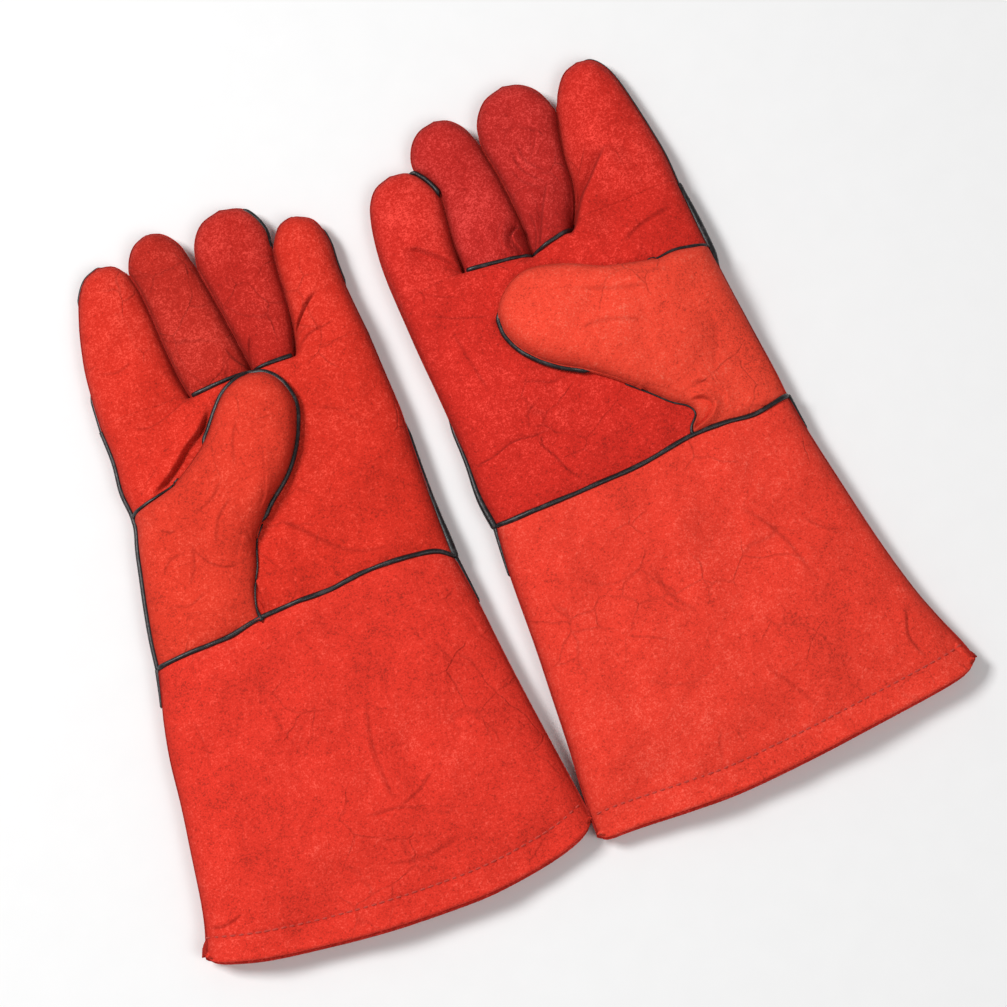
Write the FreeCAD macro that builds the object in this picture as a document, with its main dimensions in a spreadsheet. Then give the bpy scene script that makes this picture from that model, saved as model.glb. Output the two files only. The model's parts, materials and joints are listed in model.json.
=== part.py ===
"""Pair of gauntlet welding gloves laid palms up, as named leather, welt and lining parts.

Each glove is drawn in its own frame: +Y towards the fingertips, +Z up out of the palm, the
origin at the middle of the cuff seam on the floor. "side" is +1 for the left glove, whose
thumb is towards -X, and -1 for the right glove, which is drawn mirrored.
"""
import FreeCAD
import Part
import Sketcher
import math
import os

os.makedirs("parts", exist_ok=True)
doc = FreeCAD.newDocument("welding_gloves")
V = FreeCAD.Vector
FINGERS = ("index", "middle", "ring", "little")

# ---------------------------------------------------------------- driving dimensions (mm)
COMMON = {
    "leather": 1.4,            # thickness of one layer of split leather
    "lining": 0.9,             # thickness of the cotton lining
    "lining_gap": 0.2,         # air between leather and lining
    "seam_gap": 1.0,           # half the space a welt takes between two leather edges
    "edge_inset": 2.0,         # how far a leather edge stops inside the outline
    "welt_half": 0.9,          # half thickness of a welt
    "welt_out": 0.8,           # how far a welt shows past the outline
    "welt_in": 1.5,            # how far a welt goes in under the leather
    "seam_height": 9.6,        # height of the side seams above the floor
    "palm_rise": 12.0,         # palm leather's crown above the side seams
    "back_drop": 9.5,          # back leather's lowest line below the side seams
    "cuff_rise": 13.0,         # cuff's crown above the side seams at the hem
    "palm_start": 1.4,         # first line of hand leather above the cuff seam
    "palm_end": 123.9,         # last line of hand leather, at the finger roots
    "finger_start": 124.6,     # first line of finger leather
    "cuff_start": 1.8,         # first line of cuff leather below the cuff seam
    "cuff_reach": 180.0,       # length of the cuff blanks before the hem is cut
    "back_hem_extra": 2.5,     # how far the back of the cuff shows past the front
    "base_rise": 11.0,         # finger crown above its seam at the root
    "tip_rise": 8.5,           # finger crown above its seam near the tip
    "base_drop": 9.4,          # finger back below its seam at the root
    "tip_drop": 6.8,           # finger back below its seam near the tip
    "tip_seam_height": 7.2,    # height of the finger seams near the tips
    "thumb_seam_height": 31.0, # height of the thumb's seam, lying on the palm
    "thumb_rise": 10.0,        # thumb crown above its seam
    "thumb_drop": 7.4,         # thumb underside below its seam
    "thumb_tip_rise": 8.0,     # the same two near the thumb tip
    "thumb_tip_drop": 5.2,
}
GLOVES = {
    "left": {
        "side": 1, "turn": -1.7, "at_x": -91.6, "at_y": -3.0,
        "wrist_width": 156.0, "wrist_shift": 0.0,
        "knuckle_width": 143.0, "knuckle_shift": 8.5,
        "hem_width": 197.0, "hem_shift": -5.5,
        "hem_length": 159.0, "hem_radius": 364.0, "hem_low_point": 12.6,
    },
    "right": {
        "side": -1, "turn": 1.7, "at_x": 91.6, "at_y": 3.0,
        "wrist_width": 160.0, "wrist_shift": 0.0,
        "knuckle_width": 156.0, "knuckle_shift": 0.3,
        "hem_width": 204.0, "hem_shift": -4.5,
        "hem_length": 167.0, "hem_radius": 819.0, "hem_low_point": 8.5,
    },
}
# digit: root offset and half width, tip circle offset and half width, where the tip ends
DIGITS = {
    "left": {
        "index": (-40.4, 22.2, -37.6, 17.0, 203.0),
        "middle": (-0.6, 14.6, -5.0, 13.6, 211.0),
        "ring": (29.2, 12.8, 29.2, 16.2, 210.0),
        "little": (62.2, 17.6, 63.3, 14.6, 193.0),
    },
    "right": {
        "index": (-51.2, 25.4, -56.0, 18.4, 202.0),
        "middle": (-8.2, 13.8, -16.1, 17.6, 207.0),
        "ring": (24.0, 15.6, 20.6, 15.0, 204.0),
        "little": (60.3, 18.0, 55.9, 16.2, 186.0),
    },
}
# thumb: middle of its fold line, tip, half width at the fold and near the tip
THUMBS = {
    "left": ((-24.0, 61.5), (27.0, 116.0), 23.0, 16.5),
    "right": ((-32.0, 59.0), (38.0, 95.0), 25.0, 18.5),
}
# thumb mound: (outer end, inner end) of each cross section as (x, y, height), and its rise
MOUNDS = {
    "left": (((-76.0, 1.4, 10.8), (-23.0, 1.4, 21.0), 3.0),
             ((-71.5, 34.0, 10.8), (-13.0, 34.0, 22.2), 8.5),
             ((-41.6, 77.9, 21.8), (-6.4, 45.1, 22.6), 18.6)),
    "right": (((-78.0, 1.4, 10.8), (-27.0, 1.4, 21.0), 3.0),
              ((-77.0, 30.0, 10.8), (-19.0, 30.0, 22.2), 8.5),
              ((-43.9, 82.1, 21.4), (-20.1, 35.9, 22.6), 18.6)),
}

sheet = doc.addObject("Spreadsheet::Sheet", "dims")
values = {}


def dim(alias, value):
    """Write one driving dimension to the sheet under a plain alias."""
    row = len(values) + 1
    sheet.set("A%d" % row, alias)
    sheet.set("B%d" % row, str(value))
    sheet.setAlias("B%d" % row, alias)
    values[alias] = value


for alias, value in COMMON.items():
    dim(alias, value)
for glove, table in GLOVES.items():
    for alias, value in table.items():
        dim(glove + "_" + alias, value)
    for digit, (root_x, root_half, tip_x, tip_half, tip_y) in DIGITS[glove].items():
        stem = glove + "_" + digit
        dim(stem + "_root_half", root_half)
        dim(stem + "_tip_half", tip_half)
    dim(glove + "_thumb_root_half", THUMBS[glove][2])
    dim(glove + "_thumb_tip_half", THUMBS[glove][3])
doc.recompute()


def ref(alias):
    """Expression text for one sheet dimension."""
    return "<<dims>>." + alias


def add(kind, name):
    return doc.addObject(kind, name)


def bind(obj, **expressions):
    """Bind properties of an object to sheet expressions."""
    for prop, text in expressions.items():
        obj.setExpression(prop, text)
    return obj


def boolean(kind, name, base, tool):
    obj = add("Part::" + kind, name)
    obj.Base = base
    obj.Tool = tool
    return obj


def arc_radius(half, rise):
    """Radius of the arc that is 2*half wide and rises by rise."""
    return (half * half + rise * rise) / (2.0 * rise)


def radius_text(half, rise):
    return "((%s)^2 + (%s)^2) / (2 * (%s))" % (half, rise, rise)


# ------------------------------------------------------------------------- cross sections
def section_frame(p, q, up):
    """Placement whose X runs from p to q and whose Y points up (or down) square to it."""
    x_axis = (q - p).normalize()
    z_dir = V(0, 0, up)
    y_axis = (z_dir - x_axis * z_dir.dot(x_axis)).normalize()
    n = x_axis.cross(y_axis)
    mid = (p + q) * 0.5
    m = FreeCAD.Matrix(x_axis.x, y_axis.x, n.x, mid.x,
                       x_axis.y, y_axis.y, n.y, mid.y,
                       x_axis.z, y_axis.z, n.z, mid.z,
                       0, 0, 0, 1)
    return FreeCAD.Placement(m)


def arc(centre_y, radius, start, end):
    circle = Part.Circle(V(0, centre_y, 0), V(0, 0, 1), radius)
    return Part.ArcOfCircle(circle, start, end)


def constrain(sk, *items):
    """Add one constraint and return its number, for binding."""
    return sk.addConstraint(Sketcher.Constraint(*items))


def band_section(name, placement, half, rise, half_text, rise_text):
    """Closed thin arc, one leather thick, 2*half wide along the sketch's X."""
    sk = add("Sketcher::SketchObject", name)
    sk.Placement = placement
    thick = values["leather"]
    radius = arc_radius(half, rise)
    phi = math.atan2(radius - rise, half)
    sk.addGeometry(arc(rise - radius, radius, phi, math.pi - phi), False)
    sk.addGeometry(arc(rise - radius, radius - thick, phi, math.pi - phi), False)
    outer, inner = sk.Geometry
    sk.addGeometry(Part.LineSegment(outer.StartPoint, inner.StartPoint), False)
    sk.addGeometry(Part.LineSegment(outer.EndPoint, inner.EndPoint), False)
    constrain(sk, "PointOnObject", 0, 3, -2)
    low = constrain(sk, "DistanceY", 0, 3, -1, 1, radius - rise)
    big = constrain(sk, "Radius", 0, radius)
    constrain(sk, "PointOnObject", 0, 1, -1)
    constrain(sk, "PointOnObject", 0, 2, -1)
    constrain(sk, "Coincident", 1, 3, 0, 3)
    small = constrain(sk, "Radius", 1, radius - thick)
    for line, end in ((2, 1), (3, 2)):
        constrain(sk, "Coincident", line, 1, 0, end)
        constrain(sk, "Coincident", line, 2, 1, end)
        constrain(sk, "PointOnObject", 0, 3, line)
    text = radius_text(half_text, rise_text)
    sk.setExpression("Constraints[%d]" % low, "%s - (%s)" % (text, rise_text))
    sk.setExpression("Constraints[%d]" % big, text)
    sk.setExpression("Constraints[%d]" % small, "%s - %s" % (text, ref("leather")))
    return sk


def lens_section(name, placement, half, rise, drop, half_text, rise_text, drop_text):
    """Closed lens of an upper and a lower arc that meet at the side seams."""
    sk = add("Sketcher::SketchObject", name)
    sk.Placement = placement
    top = arc_radius(half, rise)
    low = arc_radius(half, drop)
    a_top = math.atan2(top - rise, half)
    a_low = math.atan2(low - drop, half)
    sk.addGeometry(arc(rise - top, top, a_top, math.pi - a_top), False)
    sk.addGeometry(arc(low - drop, low, math.pi + a_low, 2 * math.pi - a_low), False)
    constrain(sk, "PointOnObject", 0, 3, -2)
    depth = constrain(sk, "DistanceY", 0, 3, -1, 1, top - rise)
    upper = constrain(sk, "Radius", 0, top)
    constrain(sk, "PointOnObject", 0, 1, -1)
    constrain(sk, "PointOnObject", 0, 2, -1)
    constrain(sk, "Coincident", 1, 1, 0, 2)
    constrain(sk, "Coincident", 1, 2, 0, 1)
    lower = constrain(sk, "Radius", 1, low)
    top_text = radius_text(half_text, rise_text)
    sk.setExpression("Constraints[%d]" % depth, "%s - (%s)" % (top_text, rise_text))
    sk.setExpression("Constraints[%d]" % upper, top_text)
    sk.setExpression("Constraints[%d]" % lower, radius_text(half_text, drop_text))
    return sk


def loft(name, sections):
    obj = add("Part::Loft", name)
    obj.Sections = sections
    obj.Solid = True
    obj.Ruled = True
    return obj


def box(name, placement, length, width, height):
    obj = add("Part::Box", name)
    obj.Length = length
    obj.Width = width
    obj.Height = height
    obj.Placement = placement
    return obj


def above_seam(name, obj, up):
    """The part of a panel on its own side of the seam plane, clear of the welt."""
    plane = values["seam_height"] + up * values["seam_gap"]
    low = min(plane, plane + up * 60.0)
    block = box(name + "_side_room",
                FreeCAD.Placement(V(-150, -220, low), FreeCAD.Rotation()), 300, 400, 60)
    return boolean("Common", name + "_trimmed", obj, block)


def prism(name, points, z_low, z_high):
    """Upright block with the given plan outline."""
    sk = add("Sketcher::SketchObject", name + "_plan")
    sk.Placement = FreeCAD.Placement(V(0, 0, z_low), FreeCAD.Rotation())
    count = len(points)
    for i in range(count):
        a = points[i]
        b = points[(i + 1) % count]
        sk.addGeometry(Part.LineSegment(V(a[0], a[1], 0), V(b[0], b[1], 0)), False)
    for i in range(count):
        constrain(sk, "Coincident", i, 2, (i + 1) % count, 1)
    obj = add("Part::Extrusion", name)
    obj.Base = sk
    obj.DirMode = "Custom"
    obj.Dir = V(0, 0, 1)
    obj.LengthFwd = z_high - z_low
    obj.Solid = True
    return obj


# ------------------------------------------------------------------------- the two gloves
parts = []        # (node name, object)
hinges = []       # (joint name, point in the glove frame, axis, glove)
grip = {}         # glove placements


def keep(name, obj, placement):
    obj.Label = name
    obj.Placement = placement
    parts.append((name, obj))
    return obj


def flat_section(kind, name, glove, width, shift, y, rises, up=1):
    """Cross section square to the glove's length at y; widths and rises are sheet texts."""
    side = values[glove + "_side"]
    half = evaluate(width) / 2.0
    centre = side * shift
    z = values["seam_height"]
    if kind == "band":
        z += up * values["seam_gap"]
    frame = section_frame(V(centre - half, y, z), V(centre + half, y, z), up)
    numbers = [evaluate(text) for text in rises]
    half_text = "(%s) / 2" % expand(width)
    texts = [expand(text) for text in rises]
    if kind == "band":
        return band_section(name, frame, half, numbers[0], half_text, texts[0])
    return lens_section(name, frame, half, numbers[0], numbers[1],
                        half_text, texts[0], texts[1])


def evaluate(text):
    """Value of a sum such as 'palm_rise - seam_gap' or 'left_wrist_width + 2 * welt_out'."""
    total = 0.0
    sign = 1.0
    factor = 1.0
    for word in text.split():
        if word in ("+", "-"):
            sign = 1.0 if word == "+" else -1.0
            factor = 1.0
        elif word == "*":
            continue
        elif word in values:
            total += sign * factor * values[word]
        else:
            factor = float(word)
            if not follows_name(text, word):
                total += sign * factor
    return total


def follows_name(text, word):
    """True when a number in the sum multiplies the name after it."""
    words = text.split()
    place = words.index(word)
    return place + 1 < len(words) and words[place + 1] == "*"


def expand(text):
    """The same sum as an expression on the sheet."""
    return " ".join(ref(word) if word in values else word for word in text.split())


def build_hand(glove):
    """Palm, back and thumb-mound leather, the lining, and the hand's welts."""
    side = values[glove + "_side"]
    place = grip[glove]
    wrist = glove + "_wrist_width"
    knuckle = glove + "_knuckle_width"
    wrist_shift = values[glove + "_wrist_shift"]
    knuckle_shift = values[glove + "_knuckle_shift"]
    y0 = values["palm_start"]
    y1 = values["palm_end"]
    inset = " - 2 * edge_inset"

    def shell(name, rise, up):
        ends = []
        for tag, width, shift, y in (("a", wrist, wrist_shift, y0),
                                     ("b", knuckle, knuckle_shift, y1)):
            ends.append(flat_section("band", "%s_%s_%s" % (glove, name, tag), glove,
                                     width + inset, shift, y, [rise + " - seam_gap"], up))
        stem = "%s_%s" % (glove, name)
        return above_seam(stem, loft(stem + "_blank", ends), up)

    mound = MOUNDS[glove]
    outline = [(-110.0, -5.0), (mound[0][1][0], -5.0)]
    outline += [(low[0], low[1]) for high, low, rise in mound]
    outline += [(mound[2][0][0], mound[2][0][1]), (mound[1][0][0] + 1.0, mound[1][0][1] + 4.0)]
    outline += [(-110.0, mound[1][0][1])]
    outline = [(side * x, y) for x, y in outline]

    palm = shell("palm", "palm_rise", 1)
    hole = prism(glove + "_mound_opening", outline, 0.0, 60.0)
    palm = boolean("Cut", glove + "_palm_open", palm, hole)
    first = DIGITS[glove]["middle"]
    last = DIGITS[glove]["ring"]
    gunn_left = side * (first[0] - first[1] - 1.0)
    gunn_right = side * (last[0] + last[1] + 1.0)
    gunn_low = min(gunn_left, gunn_right)
    gunn_width = abs(gunn_right - gunn_left)
    notch = box(glove + "_gunn_notch", FreeCAD.Placement(V(gunn_low, 120.6, 10), FreeCAD.Rotation()),
                gunn_width, 10.0, 40.0)
    keep(glove + "_palm_panel", boolean("Cut", glove + "_palm", palm, notch), place)
    keep(glove + "_back_panel", shell("back", "back_drop", -1), place)

    sections = []
    for number, (high, low, rise) in enumerate(mound):
        ends = sorted([V(side * high[0], high[1], high[2]), V(side * low[0], low[1], low[2])],
                      key=lambda point: point.x)
        half = (ends[1] - ends[0]).Length / 2.0
        alias = "%s_mound_%d" % (glove, number)
        dim(alias + "_half", round(half, 3))
        dim(alias + "_rise", rise)
        sections.append(band_section("%s_section" % alias, section_frame(ends[0], ends[1], 1),
                                     half, rise, ref(alias + "_half"), ref(alias + "_rise")))
    thenar = above_seam(glove + "_thenar", loft(glove + "_thenar_blank", sections), 1)
    keep(glove + "_thenar_panel", thenar, place)

    skin = " - leather - lining_gap"
    both = {}
    for tag, extra, margin in (("outer", skin, " - 20"), ("inner", skin + " - lining", " - 28")):
        ends = []
        for end, width, shift, y in (("a", wrist, wrist_shift, y0),
                                     ("b", knuckle, knuckle_shift, y1 - 4.0)):
            ends.append(flat_section("lens", "%s_lining_%s_%s" % (glove, tag, end), glove,
                                     width + margin, shift, y,
                                     ["palm_rise" + extra, "back_drop" + extra]))
        both[tag] = loft("%s_lining_%s" % (glove, tag), ends)
    tube = boolean("Cut", glove + "_lining_tube", both["outer"], both["inner"])
    hole = prism(glove + "_lining_opening", outline, values["seam_height"], 60.0)
    keep(glove + "_hand_lining", boolean("Cut", glove + "_lining_open", tube, hole), place)

    rings = []
    for tag, width, rises in (
            ("outer", wrist + " + 2 * welt_out", ["palm_rise + welt_out", "back_drop + welt_out"]),
            ("inner", wrist + " - 16", ["palm_rise - welt_in", "back_drop - welt_in"])):
        drops = [rises[0], "back_drop" if tag == "outer" else rises[1]]
        ends = [flat_section("lens", "%s_wrist_%s_%d" % (glove, tag, i), glove,
                             width, wrist_shift, y, drops) for i, y in enumerate((-1.2, 1.2))]
        rings.append(loft("%s_wrist_%s" % (glove, tag), ends))
    keep(glove + "_wrist_welt", boolean("Cut", glove + "_wrist_ring", *rings), place)

    over = []
    for tag, rise in (("outer", "palm_rise + welt_out"), ("inner", "palm_rise - leather")):
        ends = [flat_section("lens", "%s_gunn_%s_%d" % (glove, tag, i), glove,
                             knuckle, knuckle_shift, y, [rise, "back_drop"])
                for i, y in enumerate((120.9, 123.4))]
        over.append(loft("%s_gunn_%s" % (glove, tag), ends))
    rim = boolean("Cut", glove + "_gunn_rim", *over)
    window = box(glove + "_gunn_window",
                 FreeCAD.Placement(V(gunn_low + 0.3, 110.0, 14.0), FreeCAD.Rotation()),
                 gunn_width - 0.6, 30.0, 30.0)
    keep(glove + "_gunn_seam_welt", boolean("Common", glove + "_gunn_strip", rim, window), place)

    bars = []
    for edge in (-1, 1):
        start = V(side * (wrist_shift + edge * values[wrist] / 2.0), y0 + 0.4, 0)
        stop = V(side * (knuckle_shift + edge * values[knuckle] / 2.0), y1, 0)
        run = stop - start
        turn = FreeCAD.Rotation(V(0, 1, 0), run)
        inward = side * edge < 0
        offset = -values["welt_out"] if inward else values["welt_out"] - 4.6
        corner = start + turn.multVec(V(offset, 0, 0))
        corner.z = values["seam_height"] - values["welt_half"]
        bar = box("%s_side_welt_%d" % (glove, edge + 1), FreeCAD.Placement(corner, turn),
                  4.6, run.Length - 0.3, 1.8)
        bind(bar, Height="2 * " + ref("welt_half"))
        bars.append(bar)
    pair = add("Part::Compound", glove + "_side_welts")
    pair.Links = bars
    keep(glove + "_side_seam_welts", pair, place)


def build_cuff(glove):
    """Front, back and lining of the flared cuff, cut to its curved hem."""
    side = values[glove + "_side"]
    place = grip[glove]
    hem = glove + "_hem_width"
    wrist = glove + "_wrist_width"
    reach = values["cuff_reach"]
    grow = (values[hem] - values[wrist]) / values[glove + "_hem_length"]
    wide = glove + "_cuff_blank_width"
    dim(wide, round(values[wrist] + grow * reach, 3))
    slide = values[glove + "_hem_shift"] * reach / values[glove + "_hem_length"]
    stations = (("a", wrist, 0.0, -values["cuff_start"]), ("b", wide, slide, -reach))

    def hem_disc(name, extra):
        disc = add("Part::Cylinder", "%s_%s_disc" % (glove, name))
        disc.Height = 80
        disc.Radius = values[glove + "_hem_radius"] + extra
        radius = ref(glove + "_hem_radius")
        bind(disc, Radius="%s + %s" % (radius, extra))
        centre_y = values[glove + "_hem_radius"] - values[glove + "_hem_length"]
        disc.Placement = FreeCAD.Placement(
            V(side * values[glove + "_hem_low_point"], centre_y, -20), FreeCAD.Rotation())
        return disc

    inset = " - 2 * edge_inset"
    for name, rises, up, extra in (
            ("front", ("palm_rise - seam_gap", "cuff_rise - seam_gap"), 1, 0.0),
            ("back", ("back_drop - seam_gap", "back_drop - seam_gap"), -1,
             values["back_hem_extra"])):
        ends = []
        for rise, (tag, width, shift, y) in zip(rises, stations):
            ends.append(flat_section("band", "%s_cuff_%s_%s" % (glove, name, tag), glove,
                                     width + inset, shift, y, [rise], up))
        stem = "%s_cuff_%s" % (glove, name)
        blank = above_seam(stem, loft(stem + "_blank", ends), up)
        trimmed = boolean("Common", stem + "_cut", blank, hem_disc("cuff_" + name, extra))
        keep(stem, trimmed, place)

    tubes = []
    skin = " - leather - lining_gap"
    for tag, extra, margin in (("outer", skin, " - 20"), ("inner", skin + " - lining", " - 28")):
        ends = []
        for crown, (end, width, shift, y) in zip(("palm_rise", "cuff_rise"), stations):
            ends.append(flat_section("lens", "%s_cuff_lining_%s_%s" % (glove, tag, end), glove,
                                     width + margin, shift, y,
                                     [crown + extra, "back_drop" + extra]))
        tubes.append(loft("%s_cuff_lining_%s" % (glove, tag), ends))
    tube = boolean("Cut", glove + "_cuff_lining_tube", *tubes)
    trimmed = boolean("Common", glove + "_cuff_lining_cut", tube, hem_disc("cuff_lining", -12.0))
    keep(glove + "_cuff_lining", trimmed, place)
    hinges.append((glove + "_wrist_flex",
                   V(0, -1.5, values["seam_height"] + values["palm_rise"] + 0.4),
                   V(-1, 0, 0), glove))


def capsule(name, stem, length, heights, up, grow, lead):
    """Tapered round-ended rod whose side at the seam plane is the digit's outline.

    It runs along +Y from -lead. heights are the aliases of the rise (or drop) at the root
    and near the tip; up is +1 for the crown and -1 for the underside.
    """
    halves = (stem + "_root_half", stem + "_tip_half")
    radii = [arc_radius(values[half], values[rise]) for half, rise in zip(halves, heights)]
    texts = [radius_text(ref(half), ref(rise)) for half, rise in zip(halves, heights)]
    start = V(0, -lead, up * (values[heights[0]] - radii[0]))
    stop = V(0, length, up * (values[heights[1]] - radii[1]))
    axis = stop - start
    turn = FreeCAD.Rotation(V(0, 0, 1), axis)
    rod = add("Part::Cone", name + "_rod")
    rod.Radius1 = radii[0] + grow
    rod.Radius2 = radii[1] + grow
    rod.Height = axis.Length
    rod.Placement = FreeCAD.Placement(start, turn)
    bind(rod, Radius1="%s + %s" % (texts[0], grow), Radius2="%s + %s" % (texts[1], grow))
    end = add("Part::Sphere", name + "_end")
    end.Radius = radii[1] + grow
    end.Angle1 = 0
    end.Placement = FreeCAD.Placement(stop, turn)
    bind(end, Radius="%s + %s" % (texts[1], grow))
    return boolean("Fuse", name, rod, end)


def build_digit(glove, digit, length, local, skew, rises, drops, lead):
    """Front, back, welt and lining of one finger or thumb, hollow and open at its root."""
    stem = "%s_%s" % (glove, digit)
    place = grip[glove].multiply(local)
    t = values["leather"]
    gap = values["lining_gap"]
    thick = values["lining"]

    def body(tag, grow, up):
        return capsule("%s_%s" % (stem, tag), stem, length, rises if up > 0 else drops,
                       up, grow, lead)

    def room(tag, low, high, start=0.0):
        """Block that keeps a height range beyond the digit's root line."""
        turn = FreeCAD.Rotation(V(0, 0, 1), skew)
        corner = turn.multVec(V(-100, start, 0))
        corner.z = low
        return box("%s_%s" % (stem, tag), FreeCAD.Placement(corner, turn), 200, 200, high - low)

    edge = values["seam_gap"]
    front = boolean("Cut", stem + "_front_shell", body("f0", 0.0, 1), body("f1", -t, 1))
    keep(stem + "_front", boolean("Common", stem + "_front_cut", front,
                                  room("front_room", edge, 60.0)), place)
    back = boolean("Cut", stem + "_back_shell", body("b0", 0.0, -1), body("b1", -t, -1))
    keep(stem + "_back", boolean("Common", stem + "_back_cut", back,
                                 room("back_room", -60.0, -edge)), place)

    out = values["welt_out"]
    bead = boolean("Common", stem + "_bead", body("w0", out, 1), body("w1", out, -1))
    slab = room("welt_room", -values["welt_half"], values["welt_half"], 0.1)
    bead = boolean("Common", stem + "_bead_cut", bead, slab)
    keep(stem + "_welt", boolean("Cut", stem + "_bead_ring", bead,
                                 body("w2", -values["welt_in"], 1)), place)

    shells = []
    for tag, grow in (("outer", -t - gap), ("inner", -t - gap - thick)):
        shells.append(boolean("Common", "%s_sock_%s" % (stem, tag),
                              body("l%s1" % tag, grow, 1), body("l%s2" % tag, grow, -1)))
    sock = boolean("Cut", stem + "_sock", *shells)
    keep(stem + "_lining", boolean("Common", stem + "_sock_cut", sock,
                                   room("sock_room", -60.0, 60.0, 0.3)), place)


def build_fingers(glove):
    """The four fingers, each hinged across its root at the palm side."""
    side = values[glove + "_side"]
    start = values["finger_start"]
    for digit in FINGERS:
        root_x, root_half, tip_x, tip_half, tip_y = DIGITS[glove][digit]
        root = V(side * root_x, start, values["seam_height"])
        tip = V(side * tip_x, tip_y - tip_half, values["tip_seam_height"])
        run = tip - root
        yaw = math.degrees(math.atan2(-run.x, run.y))
        pitch = math.degrees(math.atan2(run.z, math.hypot(run.x, run.y)))
        turn = FreeCAD.Rotation(V(0, 0, 1), yaw).multiply(FreeCAD.Rotation(V(1, 0, 0), pitch))
        build_digit(glove, digit, run.Length, FreeCAD.Placement(root, turn), -yaw,
                    ("base_rise", "tip_rise"), ("base_drop", "tip_drop"), 6.0)
        crown = values["seam_height"] + values["base_rise"] + 0.4
        hinges.append(("%s_%s_flex" % (glove, digit), V(side * root_x, start - 0.35, crown),
                       V(1, 0, 0), glove))


def build_thumb(glove):
    """The thumb, folded over the palm and hinged across its root at its crown."""
    side = values[glove + "_side"]
    (root_x, root_y), (tip_x, tip_y), root_half, tip_half = THUMBS[glove]
    root = V(side * root_x, root_y, values["thumb_seam_height"])
    run = V(side * (tip_x - root_x), tip_y - root_y, 0)
    along = V(run.x, run.y, 0).normalize()
    yaw = math.degrees(math.atan2(-run.x, run.y))
    turn = FreeCAD.Rotation(V(0, 0, 1), yaw)
    place = FreeCAD.Placement(root + along * 0.7, turn)
    build_digit(glove, "thumb", run.Length - tip_half, place, 0.0,
                ("thumb_rise", "thumb_tip_rise"), ("thumb_drop", "thumb_tip_drop"), 4.0)
    top = values["thumb_seam_height"] + values["thumb_rise"] + 0.4
    hinges.append((glove + "_thumb_lift", root + along * 0.35 + V(0, 0, top - root.z),
                   V(along.y, -along.x, 0), glove))


for glove in GLOVES:
    grip[glove] = FreeCAD.Placement(
        V(values[glove + "_at_x"], values[glove + "_at_y"], 0),
        FreeCAD.Rotation(V(0, 0, 1), values[glove + "_turn"]))
    build_hand(glove)
    build_cuff(glove)
    build_fingers(glove)
    build_thumb(glove)
doc.recompute()

# ------------------------------------------------ centre the pair and stand it on the floor
bounds = FreeCAD.BoundBox()
for name, obj in parts:
    bounds.add(obj.Shape.optimalBoundingBox(True, False))
shift = FreeCAD.Placement(V(-bounds.Center.x, -bounds.Center.y, -bounds.ZMin),
                          FreeCAD.Rotation())
for name, obj in parts:
    obj.Placement = shift.multiply(obj.Placement)
doc.recompute()

for obj in doc.Objects:
    if "Invalid" in obj.State or "Error" in obj.State:
        raise SystemExit("feature failed: " + obj.Name)
for name, obj in parts:
    shape = obj.Shape
    if shape.isNull() or not shape.isValid() or not shape.Solids:
        raise SystemExit("bad shape: " + name)
    shape.exportStep("parts/%s.step" % name)
    size = shape.optimalBoundingBox(True, False)
    print("%-24s solids %d  %6.1f x %6.1f x %5.1f  volume %8.0f" % (
        name, len(shape.Solids), size.XLength, size.YLength, size.ZLength, shape.Volume))

for name, point, axis, glove in hinges:
    frame = shift.multiply(grip[glove])
    at = frame.multVec(point)
    along = frame.Rotation.multVec(axis)
    print("HINGE %s %.4f %.4f %.4f %.6f %.6f %.6f" % (
        name, at.x, at.y, at.z, along.x, along.y, along.z))
for glove in GLOVES:
    frame = shift.multiply(grip[glove])
    print("GLOVE %s %.4f %.4f %.4f" % (glove, frame.Base.x, frame.Base.y, frame.Base.z))
print("pair %.1f x %.1f x %.1f mm, %d parts" % (
    bounds.XLength, bounds.YLength, bounds.ZLength, len(parts)))
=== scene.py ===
"""Finished look of a pair of welted leather gauntlets, dressed over the fixed model.

Inside the pattern and form classes lengths are millimetres in a glove's own frame: u runs across
the hand from the thumb side to the little finger side, v runs from the cuff seam towards the
fingertips, and z is up, out of the palm. Meshes are written in metres in the row frame.
"""
import json
import logging
import math
from dataclasses import dataclass, field
from enum import Enum

import bmesh
import bpy
import numpy as np
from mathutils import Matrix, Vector


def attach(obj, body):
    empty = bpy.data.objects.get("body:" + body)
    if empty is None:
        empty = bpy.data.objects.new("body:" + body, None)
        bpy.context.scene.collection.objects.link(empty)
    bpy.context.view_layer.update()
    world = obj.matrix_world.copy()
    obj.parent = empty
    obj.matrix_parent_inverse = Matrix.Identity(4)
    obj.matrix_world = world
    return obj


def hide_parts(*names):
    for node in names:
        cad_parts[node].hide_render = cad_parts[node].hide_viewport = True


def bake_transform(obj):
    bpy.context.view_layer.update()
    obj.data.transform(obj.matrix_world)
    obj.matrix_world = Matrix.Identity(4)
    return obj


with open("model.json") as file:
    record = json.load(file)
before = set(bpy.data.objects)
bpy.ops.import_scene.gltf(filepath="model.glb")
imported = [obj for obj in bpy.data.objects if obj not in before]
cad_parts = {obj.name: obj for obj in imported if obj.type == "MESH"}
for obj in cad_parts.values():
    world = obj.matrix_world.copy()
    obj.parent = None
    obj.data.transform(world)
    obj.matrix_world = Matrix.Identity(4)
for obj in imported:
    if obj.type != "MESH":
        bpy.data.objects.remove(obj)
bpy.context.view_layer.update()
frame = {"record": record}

log = logging.getLogger("gauntlets")
Array = np.ndarray
Points = tuple[tuple[float, float], ...]
MM = 0.001


class Side(Enum):
    """Which glove: the value is the direction of the little finger along the row's X."""

    LEFT = 1
    RIGHT = -1

    @property
    def word(self) -> str:
        """The prefix of this glove's part names."""
        return self.name.lower()


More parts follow.
